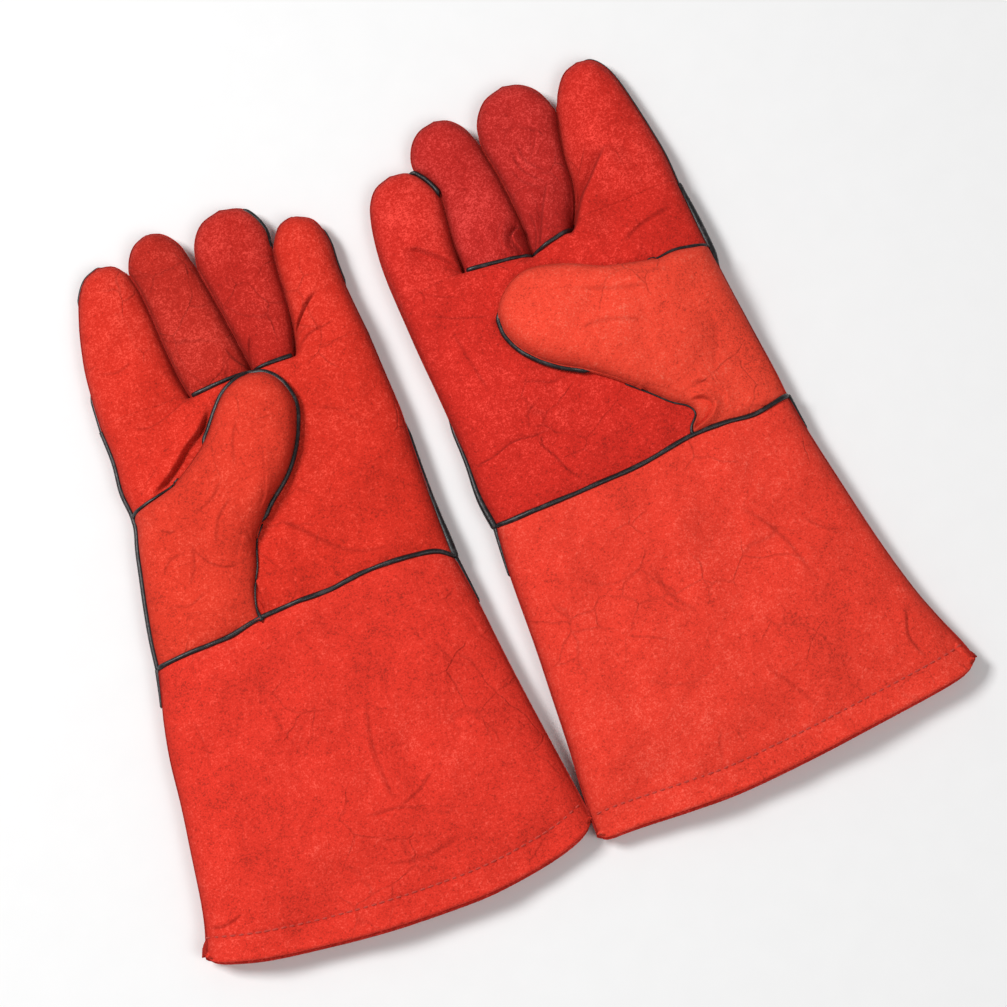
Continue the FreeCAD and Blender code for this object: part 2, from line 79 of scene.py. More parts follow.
class Facing(Enum):
    """Which way a patch of leather looks."""

    UP = 1
    DOWN = -1


# --------------------------------------------------------------------------- curves in the plan
def smooth_curve(points: Points | Array, count: int) -> Array:
    """Even Catmull-Rom curve through given points.

    Each span is p(t) = half of (2 b + (c - a) t + (2 a - 5 b + 4 c - d) t^2
    + (3 b - a - 3 c + d) t^3) for neighbours a, b, c, d; the result is then spaced evenly.
    """
    p = np.asarray(points, float)
    if len(p) == 2:
        return p[0] + (p[1] - p[0]) * np.linspace(0, 1, count)[:, None]
    ext = np.vstack([2 * p[0] - p[1], p, 2 * p[-1] - p[-2]])
    a, b, c, d = ext[:-3], ext[1:-2], ext[2:-1], ext[3:]
    t = np.linspace(0, 1, 25)[None, :, None]
    a, b, c, d = (x[:, None, :] for x in (a, b, c, d))
    spans = 0.5 * (2 * b + (c - a) * t + (2 * a - 5 * b + 4 * c - d) * t ** 2
                   + (3 * b - a - 3 * c + d) * t ** 3)
    dense = np.vstack([spans[:, :-1].reshape(-1, p.shape[1]), p[-1:]])
    return resample(dense, np.linspace(0, 1, count))


def distances(line: Array) -> Array:
    """How far along a polyline each of its points lies."""
    step = np.linalg.norm(np.diff(line, axis=0), axis=1)
    return np.concatenate([[0.0], np.cumsum(step)])


def resample(line: Array, at: Array) -> Array:
    """Points of a polyline at the given shares of its length in plan."""
    run = distances(line[:, :2])
    share = run / run[-1]
    return np.stack([np.interp(at, share, line[:, k]) for k in range(line.shape[1])], axis=1)


def gaps_between(one: Array, other: Array) -> Array:
    """Distance from every point of one line to every point of another."""
    return np.linalg.norm(one[:, None] - other[None], axis=2)


def left_of(line: Array) -> Array:
    """Unit vectors to the left of a plan line, walking along it."""
    run = np.gradient(line, axis=0)
    run /= np.linalg.norm(run, axis=1)[:, None]
    return np.column_stack([-run[:, 1], run[:, 0]])


def between(a: Array, b: Array, columns: int) -> Array:
    """Grid whose rows run straight from each point of one line to the same point of another.

    The columns crowd towards both ends: they stand at shares (1 - cos(pi t)) / 2.
    """
    s = 0.5 * (1 - np.cos(np.pi * np.linspace(0, 1, columns)))[None, :, None]
    return a[:, None] * (1 - s) + b[:, None] * s


def ease(x: Array | float) -> Array:
    """Smooth step 3x^2 - 2x^3 between 0 and 1."""
    x = np.clip(x, 0.0, 1.0)
    return x * x * (3 - 2 * x)


def window(x: Array, low: float, high: float, soft: float) -> Array:
    """1 well between two levels and 0 outside, easing over a soft width inside each."""
    return ease((x - low) / soft) * ease((high - x) / soft)


def segment_offsets(points: Array, line: Array) -> tuple[Array, Array, Array]:
    """Distance along, signed distance off, and length of every segment, for each point."""
    a = line[:-1, :2]
    run = line[1:, :2] - a
    length = np.maximum(np.linalg.norm(run, axis=1), 1e-6)
    unit = run / length[:, None]
    d = points[:, None, :] - a[None]
    along = d[..., 0] * unit[:, 0] + d[..., 1] * unit[:, 1]
    off = d[..., 1] * unit[:, 0] - d[..., 0] * unit[:, 1]
    return along, off, length


@dataclass
class Membrane:
    """Inflated sheet inside a boundary of weighted, levelled lines.

    Each boundary segment pulls with w (atan(b / h) - atan(a / h)) / h, where h is the distance
    off its line and a, b reach to its ends. Room is pi over the sum of pulls, which is the
    distance to the edge near a seam and half of it midway between two; it is nought within the
    pinned width of a seam. Level is the mean of the boundary heights weighted by the pulls.
    """

    lines: list[Array] = field(default_factory=list)   # rows of u, v, height, weight
    pinned: float = 0.5
    batch: int = 4096

    def add(self, line: Array, height: Array | float, weight: Array | float = 1.0) -> None:
        """Add one boundary polyline with its heights and weights."""
        count = len(line)
        self.lines.append(np.column_stack([line[:, 0], line[:, 1],
                                           np.broadcast_to(height, count),
                                           np.broadcast_to(weight, count)]))

    def solve(self, points: Array) -> tuple[Array, Array]:
        """Room and level at the given plan points."""
        flat = points.reshape(-1, 2)
        room = np.empty(len(flat))
        level = np.empty(len(flat))
        for start in range(0, len(flat), self.batch):
            part = flat[start:start + self.batch]
            pull = np.zeros(len(part))
            lift = np.zeros(len(part))
            for line in self.lines:
                along, off, length = segment_offsets(part, line)
                off = np.maximum(np.abs(off), 2e-3)
                angle = np.arctan((length - along) / off) + np.arctan(along / off)
                force = angle / off * 0.5 * (line[:-1, 3] + line[1:, 3])
                share = np.clip(along / length, 0, 1)
                high = line[:-1, 2] * (1 - share) + line[1:, 2] * share
                pull += force.sum(axis=1)
                lift += (force * high).sum(axis=1)
            room[start:start + self.batch] = math.pi / pull
            level[start:start + self.batch] = lift / pull
        room = np.maximum(room - self.pinned, 0.0)
        return room.reshape(points.shape[:-1]), level.reshape(points.shape[:-1])


# --------------------------------------------------------------------------------- the patterns
@dataclass(frozen=True)
class Fold:
    """A crease: a lip on the left of the line and a valley on its right, walking along it, with
    painted shade in the valley.
    """

    points: Points
    lip: float = 0.4
    valley: float = 0.8
    reach_lip: float = 3.0
    reach_valley: float = 1.6
    fade: float = 0.22
    # strength of the painted shade in the valley
    tint: float = 0.6
    far_fade: float = 0.22

    def shape(self, points: Array) -> tuple[Array, Array]:
        """Height to add and painted shade of the crease at plan points.

        The height is lip exp(-(d / reach)^2) on one side and -valley exp(-|d| / reach) on the
        other, joined over a width that grows with the valley's, fading out at both ends. The
        painted shade is a dark line along the valley and a broader darkening on its valley side.
        """
        line = smooth_curve(self.points, 4 * len(self.points) + 6)
        flat = points.reshape(-1, 2)
        high = np.zeros(len(flat))
        painted_shade = np.zeros(len(flat))
        far = 4.0 * max(self.reach_lip, self.reach_valley)
        near = np.all((flat > line.min(0) - far) & (flat < line.max(0) + far), axis=1)
        if near.any():
            part = flat[near]
            along, off, length = segment_offsets(part, line)
            beyond = along - np.clip(along, 0, length)
            gap = np.hypot(beyond, off)
            pick = np.argmin(gap, axis=1)
            row = np.arange(len(part))
            d = gap[row, pick] * np.where(off[row, pick] < 0, -1.0, 1.0)
            run = np.concatenate([[0.0], np.cumsum(length)[:-1]])
            share = (run[pick] + np.clip(along[row, pick], 0, length[pick])) / length.sum()
            fade = ease(share / self.fade) * ease((1 - share) / self.far_fade)
            side = ease(0.5 + d / (0.6 + 0.4 * self.reach_valley))
            lip = self.lip * np.exp(-(d / self.reach_lip) ** 2)
            valley = -self.valley * np.exp(-np.abs(d) / self.reach_valley)
            high[near] = fade * (side * lip + (1 - side) * valley)
            # Painted shade: a dark line along the valley, and a broader darkening on the valley
            # side
            narrow = 0.28 + 0.2 * self.reach_valley
            shade_line = min(1.0, 0.4 * self.valley + 0.35) * np.exp(-((d + 0.25) / narrow) ** 2)
            shade_broad = (1 - side) * min(0.6, 0.14 * self.valley)
            shade_broad = shade_broad * np.exp(-np.abs(d) / (1.4 * self.reach_valley))
            painted_shade[near] = np.minimum(self.tint * fade * np.maximum(shade_line, shade_broad), 1.0)
        return high.reshape(points.shape[:-1]), painted_shade.reshape(points.shape[:-1])


@dataclass(frozen=True)
class FingerPattern:
    """Plan outline of one finger: both edges run from the root to the same tip point."""

    name: str
    outer: Points
    inner: Points
    bare: tuple[tuple[float, float, float], ...] = ()   # where the welt shows, and its lift


@dataclass(frozen=True)
class GlovePattern:
    """Plan of one glove as it lies."""

    side: Side
    fingers: tuple[FingerPattern, ...]
    palm_outer: Points
    palm_inner: Points
    cuff_outer: Points
    cuff_inner: Points
    wrist: Points
    hem: Points
    mound_outer: Points
    mound_inner: Points
    thumb_outer: Points
    thumb_inner: Points
    palm_gap: Points
    thumb_bare: tuple[tuple[float, float], ...]
    side_bare: tuple[tuple[float, float], tuple[float, float]]
    side_swell: tuple[tuple[float, float, float], tuple[float, float, float]]
    folds: tuple[Fold, ...]
    thumb_folds: tuple[Fold, ...]
    seed: int


LEFT = GlovePattern(
    side=Side.LEFT,
    fingers=(
        FingerPattern("index",
                      ((-63.5, 124), (-62.5, 140), (-61, 155), (-58, 170), (-55, 181), (-51, 192),
                       (-45, 200.5), (-37, 204)),
                      ((-17, 123), (-19, 136), (-20, 152), (-20.5, 170), (-21.5, 185), (-24, 195),
                       (-29, 202), (-37, 204)), ((-0.1, 0.14, 0.0), (0.38, 0.54, 0.0))),
        FingerPattern("middle",
                      ((-15.8, 122.5), (-18, 136), (-19.1, 152), (-19.6, 170), (-20.8, 185),
                       (-22.5, 197), (-17, 207.5), (-8, 212)),
                      ((17, 123.5), (15, 140), (13, 158), (11, 174), (8.5, 190), (6, 201),
                       (0, 209), (-8, 212))),
        FingerPattern("ring",
                      ((18, 123.7), (16.2, 140), (14.1, 158), (12.1, 174), (10.6, 186), (13, 198),
                       (20, 207), (31, 210.5)),
                      ((39.6, 124), (43.8, 140), (46, 156), (47.2, 170), (48.6, 182), (49.5, 194),
                       (43, 206.5), (31, 210.5)), ((0.55, 0.72, 0.5),)),
        FingerPattern("little",
                      ((40.6, 124.4), (44.8, 140), (47, 156), (48.2, 170), (50.3, 182),
                       (56, 191.5), (64, 194.5)),
                      ((79, 122), (78, 135), (77, 150), (77, 163), (77.5, 176), (74, 188.5),
                       (64, 194.5)), ((0.58, 0.8, 0.0),)),
    ),
    palm_outer=((-63.5, 124), (-63, 106), (-64.5, 90), (-63.5, 78), (-64, 70), (-67, 59),
                (-70, 45), (-73, 31), (-76, 15), (-78, 0)),
    palm_inner=((79, 122), (79.5, 100), (80, 80), (79, 63), (78.3, 42), (78, 20), (78, 0)),
    cuff_outer=((-78, 0), (-81, -12), (-84.5, -25), (-88, -43), (-90.5, -65), (-94, -89),
                (-98, -116), (-101.5, -132), (-105, -142)),
    cuff_inner=((78, 0), (81, -24), (83.5, -51), (86, -75), (89, -101), (92, -127), (94, -147)),
    wrist=((-78, 0), (-61, 0.5), (-40, 1), (-24, 4), (-5, 5), (15, 5), (33, 7), (52, 6.5),
           (69, 5), (78, 0)),
    hem=((-105, -142), (-79, -150), (-48, -155), (-18, -158.5), (12, -160), (36, -160),
         (61, -157), (79, -153), (94, -147)),
    mound_outer=((-78, 0), (-76, 15), (-73, 31), (-70, 45), (-67, 59), (-64, 70), (-63.2, 75.5),
                 (-56, 77.3), (-48, 79), (-38, 82)),
    mound_inner=((-22, 2), (-22.5, 9), (-19.5, 19), (-15, 28), (-12.5, 36), (-10, 42)),
    thumb_outer=((-38, 82), (-28, 88.5), (-17, 97), (-7, 109), (0, 116), (8, 120), (15, 121.5)),
    thumb_inner=((-10, 42), (-5, 48), (3, 56), (14, 65), (22, 75), (28, 87), (31.5, 99),
                 (29, 111), (23, 118.5), (15, 121.5)),
    palm_gap=((-28, 1), (-28.5, 9), (-25.5, 19), (-21, 28), (-18, 37), (-22, 50), (-31, 62),
              (-45, 70.5), (-62.5, 73.5)),
    thumb_bare=((0.12, 0.97),),
    side_bare=((-30, 140), (-12, 78)),
    side_swell=((50, 60, 0.25), (4, 18, 0.7)),
    folds=(
        Fold(((40, 125), (46, 137), (55, 147), (63, 151)), 1.4, 1.8, 6.0, 2.4, 0.08),
        Fold(((41, 125), (50, 131), (60, 133)), 0.7, 0.9, 4.0, 2.0, 0.08),
        Fold(((-17, 122), (-28, 117), (-40, 114), (-50, 117)), 1.2, 1.2, 7.0, 3.0, 0.08),
        Fold(((-17, 122), (-24, 124), (-36, 122)), 0.7, 0.8, 4.0, 2.0, 0.08),
        Fold(((-52, 80.5), (-43, 84.5), (-34, 91), (-26, 98), (-17, 104), (-8, 115)),
             2.0, 3.0, 9.0, 4.6, 0.2, 0.55),
        Fold(((-18, 26), (-17.8, 14), (-17.5, 5)), 0.7, 1.5, 2.4, 1.4),
        Fold(((17, 124), (19, 133), (23, 142)), 0.6, 1.4, 3.0, 2.0, 0.1),
        Fold(((17, 124), (11, 132), (8, 140)), 0.6, 1.1, 3.0, 2.0, 0.1),
        Fold(((28, 160), (34, 150), (38, 142)), 0.4, 0.9, 3.0, 1.6),
        Fold(((-55, 150), (-45, 147), (-36, 150)), 0.3, 0.5, 3.0, 1.8),
        Fold(((-22, 160), (-14, 152), (-5, 150)), 0.3, 0.5, 3.0, 1.5),
        Fold(((55, 12), (30, 20), (10, 40), (0, 50)), 0.8, 0.6, 9.0, 5.0),
        Fold(((40, 95), (52, 88), (60, 76)), 0.4, 0.4, 5.0, 3.0),
        Fold(((60, 60), (48, 52), (44, 38)), 0.3, 0.4, 5.0, 2.5),
        Fold(((-36, -10), (-35, -30), (-30, -55), (-25, -71)), 0.7, 1.0, 2.6, 1.3),
        Fold(((24, -72), (15, -90), (8, -108)), 0.8, 1.1, 2.4, 1.2),
        Fold(((8, -108), (6, -90), (7, -72), (12, -50)), 0.8, 1.0, 2.4, 1.2),
        Fold(((-10, -106), (8, -108), (18, -112), (24, -117)), 0.7, 1.1, 2.2, 1.2),
        Fold(((8, -108), (0, -116), (-4, -126)), 0.6, 0.8, 2.2, 1.2),
        Fold(((8, -108), (20, -103), (30, -96)), 0.6, 0.8, 2.2, 1.2),
        Fold(((57, -30), (50, -55), (39, -81)), 0.9, 0.8, 4.0, 2.4),
        Fold(((61, -60), (71, -82), (81, -104)), 0.9, 0.8, 4.0, 2.4),
        Fold(((-70, -30), (-69, -46), (-71, -60)), 0.5, 0.9, 2.6, 1.4),
        Fold(((-61, -78), (-66, -90), (-69, -102)), 0.5, 1.0, 2.4, 1.2),
        Fold(((-98, -128), (-90, -130), (-80, -128)), 0.8, 1.0, 3.0, 1.8),
        Fold(((-10, -130), (10, -134), (34, -130)), 0.4, 0.4, 5.0, 2.5),
        Fold(((20, -20), (24, -45), (20, -66)), 0.5, 0.5, 4.0, 2.2),
        Fold(((68, -12), (74, -30), (78, -48)), 0.6, 0.6, 3.6, 2.2),
        Fold(((44, -20), (52, -44), (70, -58)), 0.5, 0.6, 3.0, 1.6),
    ),
    thumb_folds=(
        Fold(((-60, 40), (-54, 46), (-46, 47)), 0.3, 0.7, 2.0, 1.0),
        Fold(((-50, 30), (-44, 38), (-40, 50)), 0.3, 0.6, 2.0, 1.0),
        Fold(((-62, 26), (-52, 22), (-42, 26)), 0.3, 0.5, 2.0, 1.0),
        Fold(((-30, 44), (-24, 56), (-14, 64)), 0.5, 0.6, 2.6, 1.2),
        Fold(((-36, 62), (-24, 66), (-16, 74)), 0.4, 0.5, 2.6, 1.1),
        Fold(((9.5, 84), (6, 72), (1.5, 59), (-4.5, 52.5)), 0.9, 1.2, 3.0, 1.3, 0.2, 0.7),
        Fold(((-53.5, 62), (-49.5, 59), (-45, 57.5)), 0.2, 0.8, 2.0, 0.8, 0.2, 0.9),
        Fold(((-42.5, 49), (-39.5, 44), (-35, 37), (-29, 33), (-20, 32)), 0.4, 0.8,
             2.4, 1.0, 0.2, 0.7),
        Fold(((-8, 76), (-4, 90), (2, 100)), 0.4, 0.5, 2.6, 1.2),
        Fold(((-14, 46), (-22, 36), (-26, 22)), 0.8, 0.8, 5.0, 2.5),
        Fold(((-16, 60), (-13, 50), (-12, 38)), 0.5, 0.7, 2.4, 1.4),
    ),
    seed=11,
)
RIGHT = GlovePattern(
    side=Side.RIGHT,
    fingers=(
        FingerPattern("index",
                      ((-77.5, 124), (-78, 140), (-77, 155), (-75.5, 170), (-73.5, 185),
                       (-70.5, 195.5), (-65.5, 202), (-58, 204)),
                      ((-20, 125), (-25.5, 134), (-29.5, 146), (-31.5, 160), (-35, 174),
                       (-38.5, 185), (-43.5, 194.5), (-50, 201.5), (-58, 204)),
                      ((-0.1, 0.5, 0.0),)),
        FingerPattern("middle",
                      ((-18.6, 122.5), (-24.3, 134), (-28.4, 146), (-30.4, 160), (-33.9, 174),
                       (-37, 185), (-34, 197.5), (-27, 205), (-18, 208)),
                      ((5.4, 118.5), (3.6, 135), (3.1, 150), (3.3, 165), (4.6, 180),
                       (2.5, 194), (-6, 204.5), (-18, 208))),
        FingerPattern("ring",
                      ((6.4, 118.5), (4.6, 135), (4.1, 150), (4.3, 165), (5.6, 180), (8, 194),
                       (14, 202.5), (21.5, 205.5)),
                      ((40.6, 124.6), (39.2, 140), (36.4, 155), (34.4, 168), (37.5, 178),
                       (41.5, 187), (38, 197), (31, 203.5), (21.5, 205.5))),
        FingerPattern("little",
                      ((41.6, 125.2), (40.2, 140), (37.4, 155), (35.4, 168), (38.5, 178),
                       (45, 185.8), (54, 188)),
                      ((78.5, 122), (78, 136), (77, 148), (75, 160), (72.5, 170), (69, 178.5),
                       (63, 185.2), (54, 188)), ((0.26, 0.42, 4.0),)),
    ),
    palm_outer=((-77.5, 124), (-77.5, 105), (-77.5, 90), (-78, 65), (-79, 38), (-80, 14),
                (-80, 0)),
    palm_inner=((78.5, 122), (79, 98), (79, 75), (79.3, 55), (80, 36), (81.5, 17), (80.5, 0)),
    cuff_outer=((-80, 0), (-81.5, -20), (-84.5, -46), (-89, -82), (-94, -111), (-99, -131),
                (-104, -148), (-106.5, -160)),
    cuff_inner=((80.5, 0), (83, -15), (85, -30), (88, -63), (91, -89), (94, -115), (97, -136),
                (99, -153), (99.5, -162)),
    wrist=((-80, 0), (-61, -3), (-44, -1), (-26, 0), (-2, -2.5), (23, -3), (50, -2.5),
           (71, -1.5), (80.5, 0)),
    hem=((-106.5, -160), (-87, -163), (-49, -165.5), (-12, -167.5), (25, -168), (51, -166),
         (77, -163), (90, -162), (99.5, -162)),
    mound_outer=((-80, 0), (-80, 14), (-79, 38), (-78, 65), (-77.5, 80), (-76.5, 86),
                 (-68, 88), (-58, 89.5), (-48, 89)),
    mound_inner=((-27, 0), (-28.5, 4), (-33, 9), (-31.5, 14), (-25, 19), (-19, 25), (-14, 30)),
    thumb_outer=((-48, 89), (-36, 92), (-22, 96.5), (-7, 105), (8, 110), (19, 109.5),
                 (29, 104), (35, 97), (36.5, 91)),
    thumb_inner=((-14, 30), (-7, 37), (1, 44.5), (11, 53), (19, 58.5), (27, 66), (33, 74.5),
                 (36.5, 84), (36.5, 91)),
    palm_gap=((-34, -1), (-36, 4), (-40, 9), (-38, 15), (-32, 22), (-26, 32), (-30, 46),
              (-40, 64), (-52, 78), (-76, 84)),
    thumb_bare=((0.50, 0.86),),
    side_bare=((70, 140), (-30, 64)),
    side_swell=((96, 24, 0.85), (4, 22, 0.8)),
    folds=(
        Fold(((-15, 117), (-21.5, 126), (-29, 135.5), (-36.5, 142), (-44, 149), (-55, 158)),
             3.0, 4.8, 13.0, 5.0, 0.1, 0.8),
        Fold(((41, 124), (47, 133), (56, 143), (64, 149)), 2.2, 3.0, 9.0, 3.6, 0.08),
        Fold(((10, 119), (12.5, 126), (12.5, 130.5), (9, 133.5), (4, 136)), 2.8, 3.6, 2.6, 1.8,
             0.1, 1.1),
        Fold(((6, 119), (5.5, 126.5), (6.5, 133)), 0.8, 2.0, 2.2, 1.3, 0.08),
        Fold(((18, 120), (19, 128), (17, 136), (10, 143)), 1.2, 1.2, 3.4, 2.4, 0.1),
        Fold(((2, 119), (-9, 138.5), (-19, 154)), 1.8, 2.6, 5.0, 3.2, 0.08),
        Fold(((4, 119), (-1, 130), (-2, 142)), 1.0, 1.8, 2.5, 1.6, 0.1),
        Fold(((-10, 160), (-20, 172), (-24, 182)), 0.6, 0.9, 3.0, 1.4),
        Fold(((-7, 174), (-7, 163), (-11.5, 155), (-18.5, 148)), 0.7, 0.9, 2.2, 1.1),
        Fold(((-2.5, 165), (-4, 158), (-9, 151.5), (-16, 147)), 0.6, 0.8, 2.2, 1.1),
        Fold(((-11, 176), (-11, 166), (-15, 159), (-20, 155)), 0.5, 0.7, 2.2, 1.1),
        Fold(((78, 30.5), (67, 31), (55.5, 33.5), (46, 32), (41.5, 31.5),
              (34.5, 32.5)), 0.15, 1.0, 2.0, 0.7, 0.08, 1.25),
        Fold(((41.5, 31.5), (43, 26), (40, 18.5), (37, 9), (31.5, 1.5)),
             0.15, 1.0, 2.0, 0.7, 0.08, 1.25),
        Fold(((46, 35), (42, 44), (36, 46)), 0.1, 0.6, 2.0, 0.7, 0.2, 1.0),
        Fold(((41, 60), (31.5, 56), (25.5, 53), (17.5, 53.5)), 0.15, 0.9, 2.0, 0.7, 0.2, 1.0),
        Fold(((69, 110), (62, 107), (56.5, 103.5), (47, 99.5), (37, 96)),
             0.15, 1.0, 2.0, 0.7, 0.2, 1.0),
        Fold(((60, 100), (58, 80), (56, 60)), 0.3, 0.4, 5.0, 3.0),
        Fold(((-70, 112), (-52, 110), (-36, 104)), 0.6, 0.6, 7.0, 4.0),
        Fold(((20, -50), (18, -67), (8, -84)), 0.7, 0.6, 6.0, 3.0),
        Fold(((-8, -118), (-18, -135), (-26, -150)), 0.7, 0.9, 3.4, 1.6),
        Fold(((-58, -60), (-67, -70), (-77, -74)), 0.7, 0.8, 3.4, 1.8),
        Fold(((60, -40), (40, -52), (16, -48)), 0.5, 0.5, 6.0, 3.0),
        Fold(((-30, -40), (-44, -62), (-50, -90)), 0.6, 0.5, 6.0, 3.0),
        Fold(((50, -100), (30, -112), (6, -110)), 0.5, 0.5, 6.0, 3.0),
        Fold(((-86, -120), (-80, -135), (-84, -150)), 0.7, 0.8, 3.4, 1.8),
    ),
    thumb_folds=(
        Fold(((-27, 2), (-34, 3.5), (-40, 6), (-43, 10.5), (-39, 15), (-32, 16.5)),
             2.2, 2.0, 3.2, 2.4, 0.08),
        Fold(((-48, 5), (-50, 13), (-45, 21), (-36, 24)), 0.9, 0.8, 4.0, 2.4),
        Fold(((-52, 26), (-60, 40), (-62, 56)), 0.5, 0.5, 6.0, 4.0),
        Fold(((-30, 60), (-12, 68), (4, 70)), 0.5, 0.4, 6.0, 4.0),
        Fold(((-40, 76), (-20, 82), (0, 92)), 0.4, 0.35, 6.0, 4.0),
    ),
    seed=23,
)
LINES: dict[Side, GlovePattern] = {Side.LEFT: LEFT, Side.RIGHT: RIGHT}


# ------------------------------------------------------------------------------- the lay of it
@dataclass(frozen=True)
class Ripples:
    """Slow waves in slack leather: a sum of sines of random length, heading and phase."""

    seed: int
    count: int = 14
    shortest: float = 24.0
    longest: float = 95.0
    height: float = 1.25

    def lift(self, points: Array) -> Array:
        """Wave height at plan points: sum of a sin(k . p + phase)."""
        draw = np.random.default_rng(self.seed)
        length = self.shortest * (self.longest / self.shortest) ** draw.random(self.count)
        heading = draw.random(self.count) * math.tau
        phase = draw.random(self.count) * math.tau
        wave = math.tau / length[:, None] * np.column_stack([np.cos(heading), np.sin(heading)])
        size = length / length.sum()
        turn = points @ wave.T + phase
        return self.height * 1.6 * (np.sin(turn) * size).sum(axis=-1) * math.sqrt(self.count / 3)


@dataclass
class GloveForm:
    """Heights of every leather surface of one glove over its plan.

    The seam plane stands at seam over the floor and sinks to tip_seam at the fingertips. The
    palm side rises from it by rise sqrt(1 - exp(-room / soft)); the back falls to the floor by
    (1 - exp(-room / 3)) ^ 0.6.
    """

    pattern: GlovePattern
    origin: Array
    across: Array
    seam: float = 9.6
    tip_seam: float = 7.2
    knuckle: float = 124.0
    fingertip: float = 200.0
    palm_rise: float = 12.0
    cuff_rise: float = 13.2
    finger_rise: float = 10.6
    floor_gap: float = 0.35
    thumb_stand: float = 3.2
    thumb_rise: float = 12.5
    hem_turn: float = 11.5
    mouth_drop: float = 0.42
    mouth_reach: float = 45.0
    # painted shade towards the seams fades over this distance
    edge_reach: float = 3.2
    fold_inset: float = 1.6
    slack_reach: float = 6.0
    wrist_sink: float = 1.7
    wrist_reach: float = 4.5
    root_sink: float = 1.5
    root_reach: float = 3.2
    stitch_sink: float = 0.45
    stitch_reach: float = 1.1
    # painted shade along the hem's stitch line
    stitch_mark: float = 0.22
    main: Membrane = field(default_factory=Membrane)
    flap: Membrane = field(default_factory=Membrane)

    def __post_init__(self) -> None:
        """Lay out the boundary lines of the hand and of the thumb flap."""
        p = self.pattern
        self.along = np.array([-self.across[1], self.across[0], 0.0])
        edges = {f.name: (smooth_curve(f.outer, 60), smooth_curve(f.inner, 60))
                 for f in p.fingers}
        order = [f.name for f in p.fingers]
        for first, second in zip(order[:-1], order[1:]):
            self.close_up(edges[first][1], edges[second][0])
        self.edges = edges
        self.wrist = smooth_curve(p.wrist, 60)
        self.hem = smooth_curve(p.hem, 60)
        self.roots = np.array([q for f in p.fingers for q in (f.outer[0], f.inner[0])], float)
        for side in (p.palm_outer, p.palm_inner):
            self.main.add(smooth_curve(side, 80), self.seam)
        for turn in (0, 1):
            self.main.add(self.cuff_side(turn), self.seam)
        for place, name in enumerate(order):
            for turn, line in enumerate(edges[name]):
                other = place + (-1, 1)[turn]
                weight = np.ones(len(line))
                if 0 <= other < len(order):
                    beside = edges[order[other]][1 - turn]
                    gap = gaps_between(line, beside).min(axis=1)
                    weight = 0.5 + 0.5 * ease((gap - 1.5) / 6.5)
                self.main.add(line, self.seam_height(line[:, 1]), weight)
        self.ripples = Ripples(p.seed)
        self.wrinkles = Ripples(p.seed + 5, count=26, shortest=7.0, longest=22.0, height=0.22)
        top = smooth_curve(p.mound_outer, 60)
        self.flap.add(top, np.maximum(self.front(top)[0] + 0.5, self.seam))
        for line in (smooth_curve(p.thumb_outer, 60), smooth_curve(p.thumb_inner, 60)):
            self.flap.add(line, self.front(line)[0] + self.thumb_stand)
        fold = smooth_curve(p.mound_inner, 40)
        self.flap.add(fold, self.front(fold)[0] + 0.5, 0.9)
        base = resample(np.vstack([fold[0], top[0]]), np.linspace(0, 1, 30))
        self.flap.add(base, self.front(base)[0], 0.45)

    def cuff_side(self, which: int) -> Array:
        """Side line of the cuff, carried on straight past the hem."""
        line = smooth_curve((self.pattern.cuff_outer, self.pattern.cuff_inner)[which], 80)
        return np.vstack([line, line[-1] + 2.0 * (line[-1] - line[-8])])

    @staticmethod
    def close_up(one: Array, other: Array) -> None:
        """Bring two neighbouring finger edges together where they nearly touch."""
        gaps = gaps_between(one, other)
        moves = []
        for line, beside, near in ((one, other, gaps), (other, one, gaps.T)):
            pick = near.argmin(axis=1)
            pull = 0.47 * (1 - ease((near.min(axis=1) - 1.1) / 1.6))
            moves.append((beside[pick] - line) * pull[:, None])
        one += moves[0]
        other += moves[1]

    def seam_height(self, v: Array) -> Array:
        """Height of the side seams along the glove."""
        drop = ease((v - self.knuckle) / (self.fingertip - self.knuckle))
        return self.seam - (self.seam - self.tip_seam) * drop

    def wrist_v(self, u: Array) -> Array:
        """Where the cuff seam runs on the palm side."""
        return np.interp(u, self.wrist[:, 0], self.wrist[:, 1])

    def hem_v(self, u: Array) -> Array:
        """Where the cuff's hem runs on the palm side."""
        return np.interp(u, self.hem[:, 0], self.hem[:, 1])

    def root_v(self, u: Array) -> Array:
        """Where the fingers start."""
        return np.interp(u, self.roots[:, 0], self.roots[:, 1])

    def front(self, points: Array) -> tuple[Array, Array, Array]:
        """Palm-side height, painted crease shade and painted seam shade at plan points."""
        room, level = self.main.solve(points)
        u, v = points[..., 0], points[..., 1]
        rise = (self.palm_rise + (self.cuff_rise - self.palm_rise) * ease(-v / 120)
                + (self.finger_rise - self.palm_rise) * ease((v - 110) / 50))
        near_mouth = ease((self.hem_v(u) + self.mouth_reach - v) / self.mouth_reach)
        rise = rise * (1 - self.mouth_drop * near_mouth)
        soft = 13 + 11 * ease(-v / 60) - 6.5 * ease((v - 75) / 55)
        slack = 1 - np.exp(-room / self.slack_reach)
        high = level + rise * np.sqrt(np.maximum(1 - np.exp(-room / soft), 0))
        high = high + slack * (self.ripples.lift(points) + self.wrinkles.lift(points))
        high = high - (self.wrist_sink * slack
                       * np.exp(-((v - self.wrist_v(u)) / self.wrist_reach) ** 2))
        middle = window(u, self.roots[2, 0] - 3, self.roots[5, 0] + 2, 6)
        high = high - (self.root_sink * middle
                       * np.exp(-((v - self.root_v(u)) / self.root_reach) ** 2))
        sewn = np.exp(-((v - self.hem_v(u) - self.hem_turn) / self.stitch_reach) ** 2)
        high = high - self.stitch_sink * slack * sewn
        # the stitch line's painted shade starts the painted crease shade
        return self.creased(points, self.pattern.folds, room, high, self.stitch_mark * sewn)

